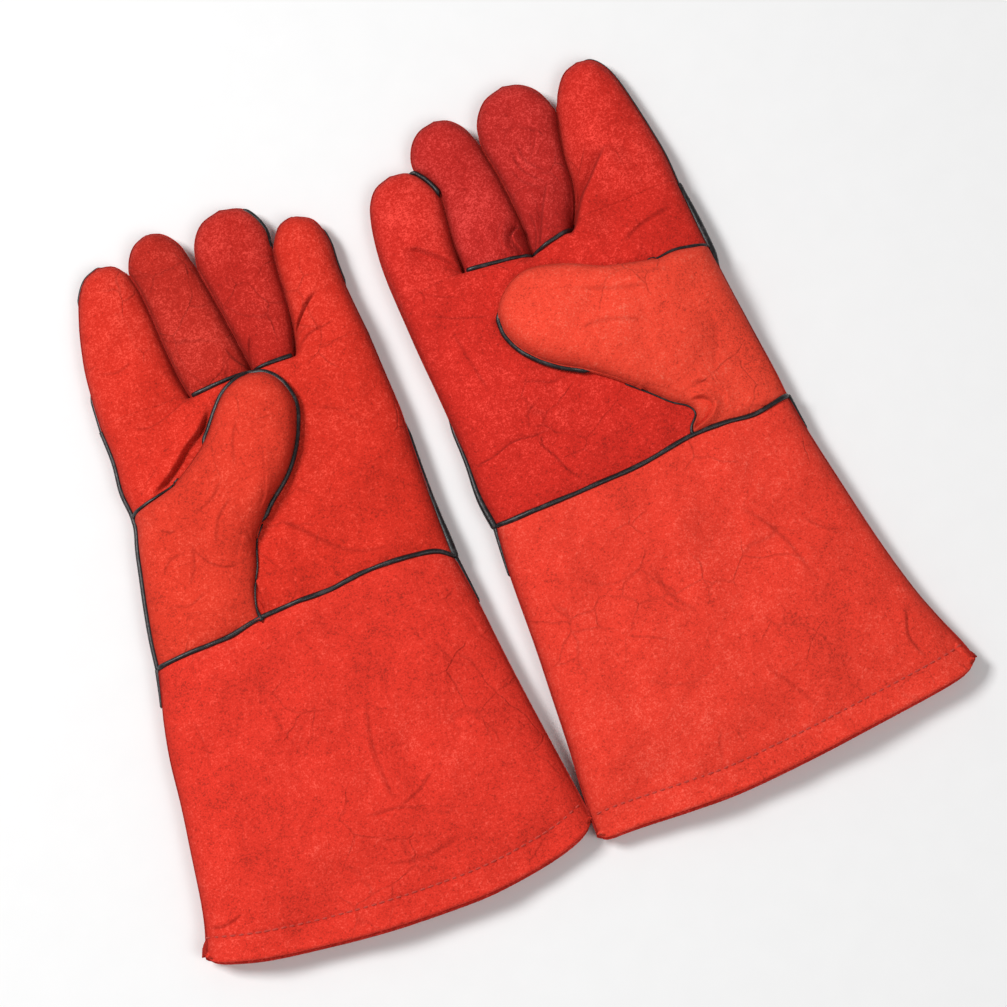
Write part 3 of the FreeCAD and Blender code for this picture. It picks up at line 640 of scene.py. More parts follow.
    def creased(self, points: Array, folds: tuple[Fold, ...], room: Array, high: Array,
                crease: Array) -> tuple[Array, Array, Array]:
        """Height, painted crease shade and painted seam shade, with the folds added, which end at
        the seams.
        """
        inside = ease(room / self.fold_inset)
        for fold in folds:
            lift, painted_shade = fold.shape(points)
            high = high + inside * lift
            crease = np.maximum(crease, painted_shade)
        return high, crease, self.edge_mark(room)

    def edge_mark(self, room: Array) -> Array:
        """Painted shade towards a seam: 1 on it and fading away from it."""
        return np.exp(-room / self.edge_reach)

    def back(self, points: Array) -> tuple[Array, Array, Array]:
        """Back-of-hand height, an empty crease shade and the painted seam shade at plan points."""
        room, level = self.main.solve(points)
        u, v = points[..., 0], points[..., 1]
        fall = np.power(np.maximum(1 - np.exp(-room / 3.0), 0), 0.6)
        high = level + (self.floor_gap - level) * fall
        groove = np.exp(-((v - self.wrist_v(u)) / 5) ** 2)
        return high + 1.5 * groove * fall, np.zeros_like(high), self.edge_mark(room)

    def thumb(self, points: Array) -> tuple[Array, Array, Array]:
        """Height and painted shade marks of the thumb mound and the upper face of the thumb."""
        room, level = self.flap.solve(points)
        u, v = points[..., 0], points[..., 1]
        rise = self.thumb_rise * (0.55 + 0.45 * ease((v - 20) / 45))
        body = np.sqrt(np.maximum(1 - np.exp(-room / 7.5), 0))
        body = body * (1 - np.exp(-np.maximum(v - self.wrist_v(u), 0) / 13))
        high = level + rise * body
        slack = 1 - np.exp(-room / 4)
        high = high + 0.7 * slack * (self.ripples.lift(points + 61) + self.wrinkles.lift(points))
        return self.creased(points, self.pattern.thumb_folds, room, high, np.zeros_like(high))

    def thumb_under(self, points: Array) -> tuple[Array, Array, Array]:
        """Height and painted shade marks of the thumb's underside, which rests on the palm."""
        room, level = self.flap.solve(points)
        sag = level - 4.0 * (1 - np.exp(-room / 4))
        rest = self.front(points)[0] + 0.7
        return np.maximum(sag, rest), np.zeros_like(sag), self.edge_mark(room)

    def place(self, points: Array, height: Array) -> Array:
        """Row-frame metres of plan points at the given heights."""
        u = points[..., 0:1] * self.pattern.side.value
        flat = self.origin + MM * (u * self.across + points[..., 1:2] * self.along)
        flat[..., 2] = MM * height
        return flat

    def spot(self, u: float, v: float, z: float) -> tuple[float, float, float]:
        """One row-frame point."""
        found = self.place(np.array([[u, v]]), np.array([z]))[0]
        return float(found[0]), float(found[1]), float(found[2])


# ---------------------------------------------------------------------------------- mesh making
def span_grid(outer: Array, inner: Array, rows: int, columns: int) -> Array:
    """Plan grid whose rows run straight across from one edge curve to the other."""
    at = np.linspace(0, 1, rows)
    return between(resample(outer, at), resample(inner, at), columns)


def put_object(name: str, data: bpy.types.ID) -> bpy.types.Object:
    """Put a new object in the scene."""
    obj = bpy.data.objects.new(name, data)
    bpy.context.scene.collection.objects.link(obj)
    return obj


def put_mesh(name: str, points: Array, faces: Array, marks: dict[str, Array]) -> bpy.types.Object:
    """Smooth-shaded object from vertices in metres and quads, closing doubled points.

    The marks are float values for each vertex by attribute name.
    """
    mesh = bpy.data.meshes.new(name)
    mesh.from_pydata(points.reshape(-1, 3), [], faces)
    for word, values in marks.items():
        layer = mesh.attributes.new(word, "FLOAT", "POINT")
        layer.data.foreach_set("value", np.asarray(values, np.float32).ravel())
    tool = bmesh.new()
    tool.from_mesh(mesh)
    bmesh.ops.remove_doubles(tool, verts=tool.verts, dist=2e-6)
    bmesh.ops.dissolve_degenerate(tool, edges=tool.edges, dist=1e-7)
    tool.to_mesh(mesh)
    tool.free()
    mesh.polygons.foreach_set("use_smooth", np.ones(len(mesh.polygons), bool))
    mesh.update()
    return put_object(name, mesh)


def grid_faces(rows: int, columns: int, flip: bool, around: bool = False) -> Array:
    """Quads of a grid of points, wrapped round in the column direction where asked."""
    index = np.arange(rows * columns).reshape(rows, columns)
    if around:
        index = np.concatenate([index, index[:, :1]], axis=1)
    quads = np.stack([index[:-1, :-1], index[:-1, 1:], index[1:, 1:], index[1:, :-1]], axis=-1)
    quads = quads.reshape(-1, 4)
    return quads[:, ::-1] if flip else quads


def grid_piece(name: str, points: Array, flip: bool, marks: dict[str, Array],
               around: bool = False) -> bpy.types.Object:
    """Surface over a grid of points."""
    rows, columns = points.shape[:2]
    return put_mesh(name, points, grid_faces(rows, columns, flip, around), marks)


def tube_piece(name: str, path: Array, radius: Array | float, sides: int = 10
               ) -> bpy.types.Object:
    """Round cord of leather swept along a path, with rounded ends.

    Each ring is p + r (cos a (t x z) + sin a up); the end rings shrink as sqrt(1 - x^2).
    """
    tangent = np.gradient(path, axis=0)
    tangent /= np.linalg.norm(tangent, axis=1)[:, None] + 1e-12
    sideways = np.cross(tangent, np.array([0.0, 0.0, 1.0]))
    sideways /= np.linalg.norm(sideways, axis=1)[:, None] + 1e-12
    up = np.cross(sideways, tangent)
    run = distances(path)
    thick = np.broadcast_to(radius, len(path)).astype(float)
    near = np.minimum(run, run[-1] - run) / np.maximum(thick, 1e-6)
    thick = thick * np.sqrt(np.clip(1 - (1 - np.clip(near, 0, 1)) ** 2, 0, 1))
    angle = np.linspace(0, math.tau, sides, endpoint=False)
    ring = (np.cos(angle)[None, :, None] * sideways[:, None]
            + np.sin(angle)[None, :, None] * up[:, None])
    return grid_piece(name, path[:, None] + thick[:, None, None] * ring, True, {}, around=True)


def thicken(obj: bpy.types.Object, wall: float) -> None:
    """Give a sheet its wall, inwards from its outer face."""
    solid = obj.modifiers.new("wall", "SOLIDIFY")
    solid.thickness = wall * MM
    solid.offset = -1.0
    solid.use_even_offset = False
    with bpy.context.temp_override(object=obj, active_object=obj, selected_objects=[obj]):
        bpy.ops.object.modifier_apply(modifier=solid.name)


# ------------------------------------------------------------------------------------ finishes
def rgba(colour: tuple[float, float, float] | Array) -> tuple[float, float, float, float]:
    """Linear colour with full alpha from display values of 0 to 255."""
    c = np.asarray(colour) / 255.0
    linear = np.where(c <= 0.04045, c / 12.92, ((c + 0.055) / 1.055) ** 2.4)
    return float(linear[0]), float(linear[1]), float(linear[2]), 1.0


class NodeDesk:
    """Short hand for placing shader nodes and wiring them."""

    def __init__(self, tree: bpy.types.NodeTree) -> None:
        """Work on the given tree."""
        self.tree = tree

    def node(self, kind: str, **settings: object) -> bpy.types.Node:
        """Add a node and set its properties."""
        node = self.tree.nodes.new(kind)
        for word, value in settings.items():
            setattr(node, word, value)
        return node

    def place(self) -> bpy.types.NodeSocket:
        """Object coordinates."""
        return self.node("ShaderNodeTexCoord").outputs["Object"]

    def feed(self, socket: bpy.types.NodeSocket, value: object) -> None:
        """Wire a socket to another, or give it a value."""
        if isinstance(value, bpy.types.NodeSocket):
            self.tree.links.new(value, socket)
        else:
            socket.default_value = value

    def math(self, operation: str, *values: object) -> bpy.types.NodeSocket:
        """One Math node."""
        node = self.node("ShaderNodeMath", operation=operation)
        for socket, value in zip(node.inputs, values):
            self.feed(socket, value)
        return node.outputs[0]

    def noise(self, where: object, scale: object, detail: float = 2.0,
              rough: float = 0.5) -> bpy.types.NodeSocket:
        """Noise value at a place."""
        node = self.node("ShaderNodeTexNoise")
        self.feed(node.inputs["Vector"], where)
        self.feed(node.inputs["Scale"], scale)
        node.inputs["Detail"].default_value = detail
        node.inputs["Roughness"].default_value = rough
        return node.outputs["Fac"]

    def spread(self, value: object, low: float, high: float) -> bpy.types.NodeSocket:
        """Smooth remap of a value from between two levels to 0 to 1."""
        node = self.node("ShaderNodeMapRange", interpolation_type="SMOOTHSTEP")
        for socket, item in zip(node.inputs, (value, low, high)):
            self.feed(socket, item)
        return node.outputs[0]

    def vectors(self, operation: str, *values: object) -> bpy.types.NodeSocket:
        """One Vector Math node."""
        node = self.node("ShaderNodeVectorMath", operation=operation)
        for socket, value in zip(node.inputs, values):
            self.feed(socket, value)
        return node.outputs[0]

    def blend(self, amount: object, first: object, second: object,
              kind: str = "MIX") -> bpy.types.NodeSocket:
        """Mix two colours."""
        node = self.node("ShaderNodeMix", data_type="RGBA", blend_type=kind)
        for place, item in ((0, amount), (6, first), (7, second)):
            self.feed(node.inputs[place], item)
        return node.outputs[2]

    def bump(self, height: object, strength: float, distance: float,
             normal: object = None) -> bpy.types.NodeSocket:
        """Bump a surface by a height."""
        node = self.node("ShaderNodeBump")
        node.inputs["Strength"].default_value = strength
        node.inputs["Distance"].default_value = distance
        self.feed(node.inputs["Height"], height)
        if normal is not None:
            self.feed(node.inputs["Normal"], normal)
        return node.outputs["Normal"]


def new_group(name: str, **takes: str) -> tuple[NodeDesk, dict[str, bpy.types.NodeSocket]]:
    """Start a group with the given inputs and the three outputs: a desk on it and its inputs."""
    tree = bpy.data.node_groups.new(name, "ShaderNodeTree")
    gives = {"Color": "Color", "Roughness": "Float", "Normal": "Vector"}
    for way, sockets in (("INPUT", takes), ("OUTPUT", gives)):
        for label, kind in sockets.items():
            tree.interface.new_socket(label, in_out=way, socket_type="NodeSocket" + kind)
    desk = NodeDesk(tree)
    entry = desk.node("NodeGroupInput")
    return desk, {label: entry.outputs[label] for label in takes}


def end_group(desk: NodeDesk, colour: object, rough: object, normal: object
              ) -> bpy.types.NodeTree:
    """Wire a group's three outputs and return it."""
    leave = desk.node("NodeGroupOutput")
    for socket, value in zip(leave.inputs, (colour, rough, normal)):
        desk.feed(socket, value)
    return desk.tree


@dataclass(frozen=True)
class NoiseLayer:
    """One noise of the suede: its scale, detail, roughness and share of the tone."""

    scale: float
    detail: float
    rough: float
    share: float


NAP_LAYERS: dict[str, NoiseLayer] = {
    "dye": NoiseLayer(13.0, 2.0, 0.5, 0.5), "brushed": NoiseLayer(46.0, 3.0, 0.55, 0.42),
    "patch": NoiseLayer(150.0, 3.0, 0.55, 0.5), "tuft": NoiseLayer(560.0, 3.0, 0.6, 0.85),
    "fibre": NoiseLayer(1250.0, 2.0, 0.6, 1.35)}


def nap_group() -> bpy.types.NodeTree:
    """Napped split leather: fibres, brushed patches, dye mottling and painted shade in creases.

    Five noises, from wide dye clouds to fibres, add up to a tone about 0. The base turns to the
    tip colour where the tone is high and to the pit colour where it is low. Painted shade
    deepens it in creases and towards the seam edges, and fine cracks along the borders of
    swirled cells deepen it too.
    """
    desk, take = new_group("nap", Base="Color", Tip="Color", Pit="Color", Mottle="Float",
                           Crease="Float", Edge="Float", Tone="Float", Offset="Vector")
    spot = desk.vectors("ADD", desk.place(), take["Offset"])
    noise, wide = {}, 0.0
    for name, layer in NAP_LAYERS.items():
        noise[name] = desk.noise(spot, layer.scale, layer.detail, layer.rough)
        wide = desk.math("MULTIPLY_ADD", desk.math("SUBTRACT", noise[name], 0.5), layer.share,
                         wide)
    tone = desk.math("MULTIPLY", wide, take["Mottle"])
    tone = desk.math("MULTIPLY_ADD", take["Tone"], 0.2, tone)
    colour = desk.blend(desk.spread(tone, 0.0, 0.9), take["Base"], take["Tip"])
    colour = desk.blend(desk.spread(tone, 0.0, -0.9), colour, take["Pit"])
    # Painted shade: creases and seam edges darken towards a dim copy of the pit colour
    shade = desk.blend(1.0, take["Pit"], (0.55, 0.5, 0.5, 1.0), "MULTIPLY")
    for mark, share in (("Crease", 0.8), ("Edge", 0.6)):
        colour = desk.blend(desk.math("MULTIPLY", take[mark], share), colour, shade)
    swirl = desk.node("ShaderNodeTexNoise")
    desk.feed(swirl.inputs["Vector"], spot)
    swirl.inputs["Scale"].default_value = 60.0
    bend = desk.vectors("MULTIPLY_ADD", swirl.outputs["Color"], (0.009, 0.009, 0.009), spot)
    cells = desk.node("ShaderNodeTexVoronoi", feature="DISTANCE_TO_EDGE")
    desk.feed(cells.inputs["Vector"], bend)
    cells.inputs["Scale"].default_value = 42.0
    line = desk.spread(cells.outputs["Distance"], 0.034, 0.0)
    seen = desk.spread(desk.noise(spot, 24.0, 2.0), 0.50, 0.62)
    crack = desk.math("MULTIPLY", line, seen)
    colour = desk.blend(desk.math("MULTIPLY", crack, 0.30), colour, take["Pit"])
    normal = desk.bump(desk.math("MULTIPLY", crack, -1.0), 0.6, 0.0005)
    for name, strength, depth in (("patch", 0.35, 0.002), ("tuft", 0.45, 0.0008),
                                  ("fibre", 0.4, 0.00035)):
        normal = desk.bump(noise[name], strength, depth, normal)
    return end_group(desk, colour, desk.math("MULTIPLY_ADD", noise["patch"], 0.14, 0.84), normal)


def grain_group() -> bpy.types.NodeTree:
    """Smooth dyed piping leather: pebbled grain, scuffs that catch lint, and a broken gloss."""
    desk, take = new_group("grain", Base="Color", Scuff="Color")
    spot = desk.place()
    pebble = desk.noise(spot, 1500.0, 3.0, 0.6)
    rub = desk.noise(spot, 260.0, 4.0, 0.65)
    marks = desk.math("MULTIPLY", desk.spread(rub, 0.50, 0.72), 0.55)
    return end_group(desk, desk.blend(marks, take["Base"], take["Scuff"]),
                     desk.math("MULTIPLY_ADD", rub, 0.4, 0.22),
                     desk.bump(pebble, 0.5, 0.0002, desk.bump(rub, 0.4, 0.0006)))


def weave_group() -> bpy.types.NodeTree:
    """Brushed cotton: crossed yarns as two wave bands, softened by fluff."""
    desk, take = new_group("weave", Base="Color", Shade="Color", Yarns="Float")
    spot = desk.place()
    bands = []
    for heading in ("X", "Y"):
        wave = desk.node("ShaderNodeTexWave", bands_direction=heading)
        desk.feed(wave.inputs["Vector"], spot)
        desk.feed(wave.inputs["Scale"], take["Yarns"])
        wave.inputs["Distortion"].default_value = 0.6
        bands.append(wave.outputs["Fac"])
    fluff = desk.noise(spot, 900.0, 3.0, 0.6)
    height = desk.math("MULTIPLY_ADD", fluff, 0.8, desk.math("MULTIPLY", *bands))
    return end_group(desk, desk.blend(desk.spread(height, 0.2, 1.3), take["Shade"], take["Base"]),
                     desk.math("MULTIPLY_ADD", fluff, 0.1, 0.85), desk.bump(height, 0.5, 0.0003))


@dataclass(frozen=True)
class Finish:
    """What every finish shares: its name, its group and the shader's constant settings."""

    name: str
    sheen: float = 0.0
    specular: float = 0.3

    def start(self, group: bpy.types.NodeTree, **inputs: object) -> bpy.types.Material:
        """Material with a Principled shader fed by the group, which gets the given inputs."""
        material = bpy.data.materials.new(self.name)
        material.use_nodes = True
        tree = material.node_tree
        shader = tree.nodes["Principled BSDF"]
        node = tree.nodes.new("ShaderNodeGroup")
        node.node_tree = group
        for given, taken in (("Color", "Base Color"), ("Roughness", "Roughness"),
                             ("Normal", "Normal")):
            tree.links.new(node.outputs[given], shader.inputs[taken])
        for word, value in inputs.items():
            node.inputs[word].default_value = value
        # Crease and Edge bring in painted shade; Tone lightens towards the fingertips
        for word in ("Crease", "Edge", "Tone"):
            if word in node.inputs:
                mark = tree.nodes.new("ShaderNodeAttribute")
                mark.attribute_name = word.lower()
                tree.links.new(mark.outputs["Fac"], node.inputs[word])
        shader.inputs["Sheen Weight"].default_value = self.sheen
        shader.inputs["Sheen Roughness"].default_value = 0.45
        shader.inputs["Specular IOR Level"].default_value = self.specular
        return material


@dataclass(frozen=True)
class Suede(Finish):
    """Napped split leather in one dye."""

    base: tuple[float, float, float] = (209, 50, 37)
    tip_gain: float = 1.08
    tip_lift: float = 34.0
    pit_gain: float = 0.75
    mottle: float = 1.75
    offset: float = 0.0

    def make(self, group: bpy.types.NodeTree) -> bpy.types.Material:
        """Build the material."""
        hide = np.asarray(self.base, float)
        tip = np.minimum(hide * self.tip_gain + self.tip_lift, 255.0)
        material = self.start(group, Base=rgba(self.base), Tip=rgba(tip),
                              Pit=rgba(hide * self.pit_gain), Mottle=self.mottle,
                              Offset=(self.offset, self.offset * 0.7, 0.0))
        shader = material.node_tree.nodes["Principled BSDF"]
        shader.inputs["Sheen Tint"].default_value = rgba((255, 150, 128))
        return material


@dataclass(frozen=True)
class Piping(Finish):
    """Black welt leather."""

    base: tuple[float, float, float] = (17, 16, 19)
    scuff: tuple[float, float, float] = (74, 66, 68)

    def make(self, group: bpy.types.NodeTree) -> bpy.types.Material:
        """Build the material."""
        return self.start(group, Base=rgba(self.base), Scuff=rgba(self.scuff))


@dataclass(frozen=True)
class Cotton(Finish):
    """Woven lining or thread."""

    base: tuple[float, float, float] = (206, 200, 188)
    shade: tuple[float, float, float] = (132, 124, 112)
    yarns: float = 420.0

    def make(self, group: bpy.types.NodeTree) -> bpy.types.Material:
        """Build the material."""
        return self.start(group, Base=rgba(self.base), Shade=rgba(self.shade),
                          Yarns=self.yarns)


@dataclass
class Dyes:
    """Every finish of the pair, made once."""

    made: dict[str, bpy.types.Material] = field(default_factory=dict)

    def __post_init__(self) -> None:
        """Make the shared groups and each material."""
        nap, grain, weave = nap_group(), grain_group(), weave_group()
        hides = {
            "left_palm": (216, 47, 31), "left_cuff": (226, 53, 38),
            "left_middle": (188, 40, 28), "left_ring": (190, 37, 27),
            "left_thumb": (224, 58, 38),
            "right_palm": (207, 41, 30), "right_cuff": (232, 60, 43),
            "right_middle": (188, 38, 32), "right_ring": (189, 37, 31),
            "right_thumb": (246, 72, 50), "back": (200, 44, 33),
        }
        for place, (name, colour) in enumerate(hides.items()):
            suede = Suede(name + "_suede", sheen=0.08, specular=0.16, base=colour,
                          offset=0.37 * place)
            self.made[name] = suede.make(nap)
        self.made["welt"] = Piping("black_welt", specular=0.5).make(grain)
        self.made["lining"] = Cotton("cotton_lining", sheen=0.2).make(weave)
        self.made["thread"] = Cotton("red_thread", sheen=0.1, base=(238, 100, 84),
                                     shade=(190, 52, 44), yarns=1500.0).make(weave)


# ---------------------------------------------------------------------------------- sub-assemblies
@dataclass
class SewnPart:
    """A part of a glove: knows the glove's form, the dyes and where its bodies are."""

    form: GloveForm
    dyes: Dyes
    wall: float = 1.3
    welt_radius: float = 1.3
    cotton_wall: float = 0.6
    cotton_gap: float = 2.4
    cotton_columns: int = 24
    grids: dict[str, Array] = field(default_factory=dict)

    @property
    def word(self) -> str:
        """The glove's prefix."""
        return self.form.pattern.side.word

    @property
    def hand(self) -> str:
        """The body of the glove's hand."""
        return self.word + "_hand"

    def dye(self, name: str) -> bpy.types.Material:
        """This glove's own dye, or one that both gloves share."""
        return self.dyes.made.get(f"{self.word}_{name}") or self.dyes.made[name]

    def leather(self, name: str, plan: Array, heights: tuple[Array, Array, Array],
                facing: Facing, dye: str, wall: float | None = None) -> bpy.types.Object:
        """Sheet of leather over a plan grid, whose rows run towards +u.

        The heights are the height, the painted crease shade and the painted seam shade at the
        grid.
        """
        high, crease, edge = heights
        points = self.form.place(plan, high)
        flip = (self.form.pattern.side.value * facing.value) < 0
        tone = ease((plan[..., 1] - 122) / 34)
        # crease and edge carry painted shade into the leather colour
        marks = {"crease": crease, "edge": edge, "tone": tone}
        obj = grid_piece(f"{self.word}_{name}", points, flip, marks)
        thicken(obj, self.wall if wall is None else wall)
        obj.data.materials.append(self.dye(dye))
        self.grids[obj.name] = np.dstack([plan, high])
        return obj

    def cord(self, name: str, line: Array, height: Array, radius: Array | float | None = None
             ) -> bpy.types.Object:
        """Black welt along a plan line at the given centre heights."""
        radius = self.welt_radius if radius is None else radius
        path = self.form.place(line, height)
        obj = tube_piece(f"{self.word}_{name}", path, MM * np.asarray(radius))
        obj.data.materials.append(self.dye("welt"))
        return obj

    def sleeve(self, name: str, outer: Array, inner: Array, rows: int, closed: bool,
               inset: float = 5.0) -> bpy.types.Object:
        """Cotton sleeve between two edge lines, inside both leathers.

        Each ring runs across under the front leather and back over the back leather; the last
        ring shrinks to a point where the sleeve is closed.
        """
        at = np.linspace(0, 1, rows)
        a, b = resample(outer, at), resample(inner, at)
        run = b - a
        wide = np.linalg.norm(run, axis=1)[:, None]
        pull = np.minimum(inset / np.maximum(wide, 1e-6), 0.42)
        flat = between(a + run * pull, b - run * pull, self.cotton_columns)
        top = self.form.front(flat)[0] - self.cotton_gap
        low = self.form.back(flat)[0] + self.cotton_gap
        top = low + np.maximum(0.62 * (top - low), 0.6)
        return self.cotton(name, flat, top, low, Side.RIGHT, self.cotton_wall, closed)

    def cotton(self, name: str, plan: Array, top: Array, low: Array, turned: Side, wall: float,
               closed: bool = False) -> bpy.types.Object:
        """Tube of lining over a plan grid, turned the other way for one of the gloves."""
        ring = np.concatenate([plan, plan[:, ::-1]], axis=1)
        points = self.form.place(ring, np.concatenate([top, low[:, ::-1]], axis=1))
        if closed:
            points[-1] = points[-2].mean(axis=0)
        obj = grid_piece(f"{self.word}_{name}", points, self.form.pattern.side is turned, {},
                         around=True)
        thicken(obj, wall)
        obj.data.materials.append(self.dye("lining"))
        return obj

    def record(self, obj: bpy.types.Object, slot: str, *nodes: str) -> None:
        """Hide the model's nodes that a piece stands for, and log it; the slot is not used."""
        if nodes:
            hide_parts(*(f"{self.word}_{node}" for node in nodes))
        log.info("%s: %d faces", obj.name, len(obj.data.polygons))

    def bend(self, obj: bpy.types.Object, body: str, start: tuple[float, float],
             end: tuple[float, float], level: float = 10.0) -> None:
        """Bake a piece's transform into its mesh; it is not made to turn with the body."""
        self.hand
        f"{self.word}_{body}"
        self.form.spot(*start, level)
        self.form.spot(*end, level)
        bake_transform(obj)

    def declare_sheet(self, obj: bpy.types.Object, held: str) -> None:
        """Does nothing with the sheet; how it is held is not used.
        """


@dataclass
class Hand(SewnPart):
    """Palm and back leather, their seams and the hand's lining."""

    palm_rows: int = 170
    palm_columns: int = 190
    back_rows: int = 60
    back_columns: int = 80
    lined: tuple[float, float] = (2.0, 110.0)
    seam_ease: float = 14.0

    def body_grid(self, outer: Array, rows: int, columns: int) -> Array:
        """Plan grid from the cuff seam to the finger roots.

        The row height goes from the cuff seam's line to the root line, each fading into the
        straight rows by the cube of the distance.
        """
        form = self.form
        t = np.linspace(0, 1, rows)
        v = t * form.knuckle
        inner = smooth_curve(form.pattern.palm_inner[::-1], 80)
        left = np.interp(v, outer[:, 1], outer[:, 0])[:, None]
        right = np.interp(v, inner[:, 1], inner[:, 0])[:, None]
        u = between(left, right, columns)[..., 0]
        lower = form.wrist_v(u) * (1 - t[:, None]) ** 3
        upper = (form.root_v(u) - form.knuckle) * t[:, None] ** 3
        return np.stack([u, v[:, None] + lower + upper], axis=-1)

    def build(self) -> None:
        """Make and dress every piece that rides on the hand."""
        form, p = self.form, self.form.pattern
        outer = smooth_curve(p.palm_outer[::-1], 80)
        gap = smooth_curve(p.palm_gap, 60)
        above = outer[outer[:, 1] > gap[-1, 1] + 0.5]
        palm_plan = self.body_grid(np.vstack([gap, above]), self.palm_rows, self.palm_columns)
        palm = self.leather("palm_leather", palm_plan, form.front(palm_plan), Facing.UP, "palm")
        back_plan = self.body_grid(outer, self.back_rows, self.back_columns)
        back = self.leather("back_leather", back_plan, form.back(back_plan), Facing.DOWN, "back")
        little = smooth_curve(p.palm_inner[::-1], 80)
        start, end = self.lined
        lining = self.sleeve("hand_cotton", *(edge[(edge[:, 1] > start) & (edge[:, 1] < end)]
                                              for edge in (outer, little)), 50, False, 7.0)
        welts = [self.seam_cord(0, outer), self.seam_cord(1, little)]
        across = smooth_curve(p.wrist, 170)
        ring = form.front(across)[0] + 0.15
        radius = 1.3 + 0.15 * np.sin(across[:, 0] * 0.21) * np.cos(across[:, 0] * 0.083)
        wrist = self.cord("wrist_cord", across, ring, radius)
        low = smooth_curve(p.wrist, 80)[2:-2]
        under = self.cord("wrist_under_cord", low, np.maximum(form.back(low)[0] + 0.1, 1.5))
        gunn_line = resample(form.roots[2:6], np.linspace(0.01, 0.99, 60))
        gunn = self.cord("gunn_cord", gunn_line, form.front(gunn_line)[0] + 0.3,
                         1.35 - 0.35 * np.sin(np.linspace(0, math.pi, 60)))
        self.record(palm, "palm_leather", "palm_panel")
        self.record(back, "back_leather", "back_panel")
        self.record(lining, "lining", "hand_lining")
        self.record(wrist, "welt", "wrist_welt")
        self.record(under, "welt")
        self.record(gunn, "welt", "gunn_seam_welt")
        self.record(welts[0], "welt", "side_seam_welts")
        self.record(welts[1], "welt")
        for obj in (palm, back, lining, wrist, under, gunn, *welts):
            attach(obj, self.hand)
        for obj in (palm, back):
            self.declare_sheet(obj, "laid")

    def seam_cord(self, which: int, edge: Array) -> bpy.types.Object:
        """Welt of one side seam; it stands out past the leather where the seam gapes."""
        low, high = self.form.pattern.side_bare[which]
        middle, reach, extra = self.form.pattern.side_swell[which]
        below = edge[:1] - np.array([[0.0, 1.5]])
        line = resample(np.vstack([below, edge]), np.linspace(0, 1, 110))
        shown = window(line[:, 1], low, high, self.seam_ease)
        swell = shown * extra * np.exp(-((line[:, 1] - middle) / reach) ** 2)
        away = np.array([-1.0, 1.0])[which]
        line[:, 0] += away * (-1.6 + 1.6 * shown + 0.5 * swell)
        return self.cord(("thumb", "little")[which] + "_side_cord", line,
                         self.form.seam - 0.5 * (1 - shown) + 0.5 * swell,
                         self.welt_radius + swell)


@dataclass
class Finger(SewnPart):
    """Front, back, welt and lining of one finger."""

    shape: FingerPattern | None = None
    columns: int = 56
    turn_length: float = 26.0
    lap: float = 0.5
    row_pitch: float = 0.85
    back_pitch: float = 2.2
    bare_ease: float = 0.03

    def build(self) -> None:
        """Make and dress the finger's four pieces."""
        form, name = self.form, self.shape.name
        outer, inner = form.edges[name]
        length = float(distances(outer)[-1])
        plan = span_grid(outer, inner, int(length / self.row_pitch), self.columns)
        plan[0, :, 1] -= self.lap
        dye = name if name in ("middle", "ring") else "palm"
        front = self.leather(f"{name}_front_leather", plan, form.front(plan), Facing.UP, dye)
        coarse = span_grid(outer, inner, int(length / self.back_pitch), 26)
        back = self.leather(f"{name}_back_leather", coarse, form.back(coarse), Facing.DOWN,
                            "back")
        welt = self.outline_cord(outer, inner)
        lining = self.sleeve(f"{name}_cotton", outer[:54], inner[:54], 32, True, 5.5)
        slot = "finger_front_leather" if name in ("middle", "ring") else "palm_leather"
        self.record(front, slot, f"{name}_front")
        self.record(back, "back_leather", f"{name}_back")
        self.record(welt, "welt", f"{name}_welt")
        self.record(lining, "lining", f"{name}_lining")
        root = 0.5 * (outer[0] + inner[0])
        tip = root + np.array([0.0, self.turn_length])
        for obj in (front, back, welt, lining):
            self.bend(obj, name, tuple(root), tuple(tip))

    def outline_cord(self, outer: Array, inner: Array) -> bpy.types.Object:
        """Welt round the finger's outline.

        It is tucked in, deeper where another finger lies close, except where the seam shows; on
        the glove's outer sides it runs on a little way below the finger's root.
        """
        form = self.form
        order = [shape.name for shape in form.pattern.fingers]
        place = order.index(self.shape.name)
        loop = np.vstack([outer, inner[::-1][1:]])
        if place == 0:
            side = smooth_curve(form.pattern.palm_outer, 60)[:4]
            loop = np.vstack([side[:0:-1], loop])
        elif place == len(order) - 1:
            side = smooth_curve(form.pattern.palm_inner, 60)[:4]
            loop = np.vstack([loop, side[1:]])
        line = resample(loop, np.linspace(0.004, 0.996, 160))
        at = np.linspace(0, 1, len(line))
        shown = np.zeros(len(line))
        lift = np.zeros(len(line))
        for low, high, rise in self.shape.bare:
            here = window(at, low, high, self.bare_ease)
            shown = np.maximum(shown, here)
            lift = np.maximum(lift, rise * here)
        touch = np.zeros(len(line))
        for other in (place - 1, place + 1):
            if 0 <= other < len(order):
                beside = np.vstack(form.edges[order[other]])
                gap = gaps_between(line, beside).min(axis=1)
                touch = np.maximum(touch, 1 - ease((gap - 1.5) / 4.0))
        hidden = -0.95 - 1.35 * touch
        line = line + left_of(line) * (hidden * (1 - shown) - 0.2 * shown)[:, None]
        high = form.seam_height(line[:, 1]) - 0.9 * (1 - shown) * touch + lift
        return self.cord(f"{self.shape.name}_cord", line, high, 0.9 + 0.3 * shown)


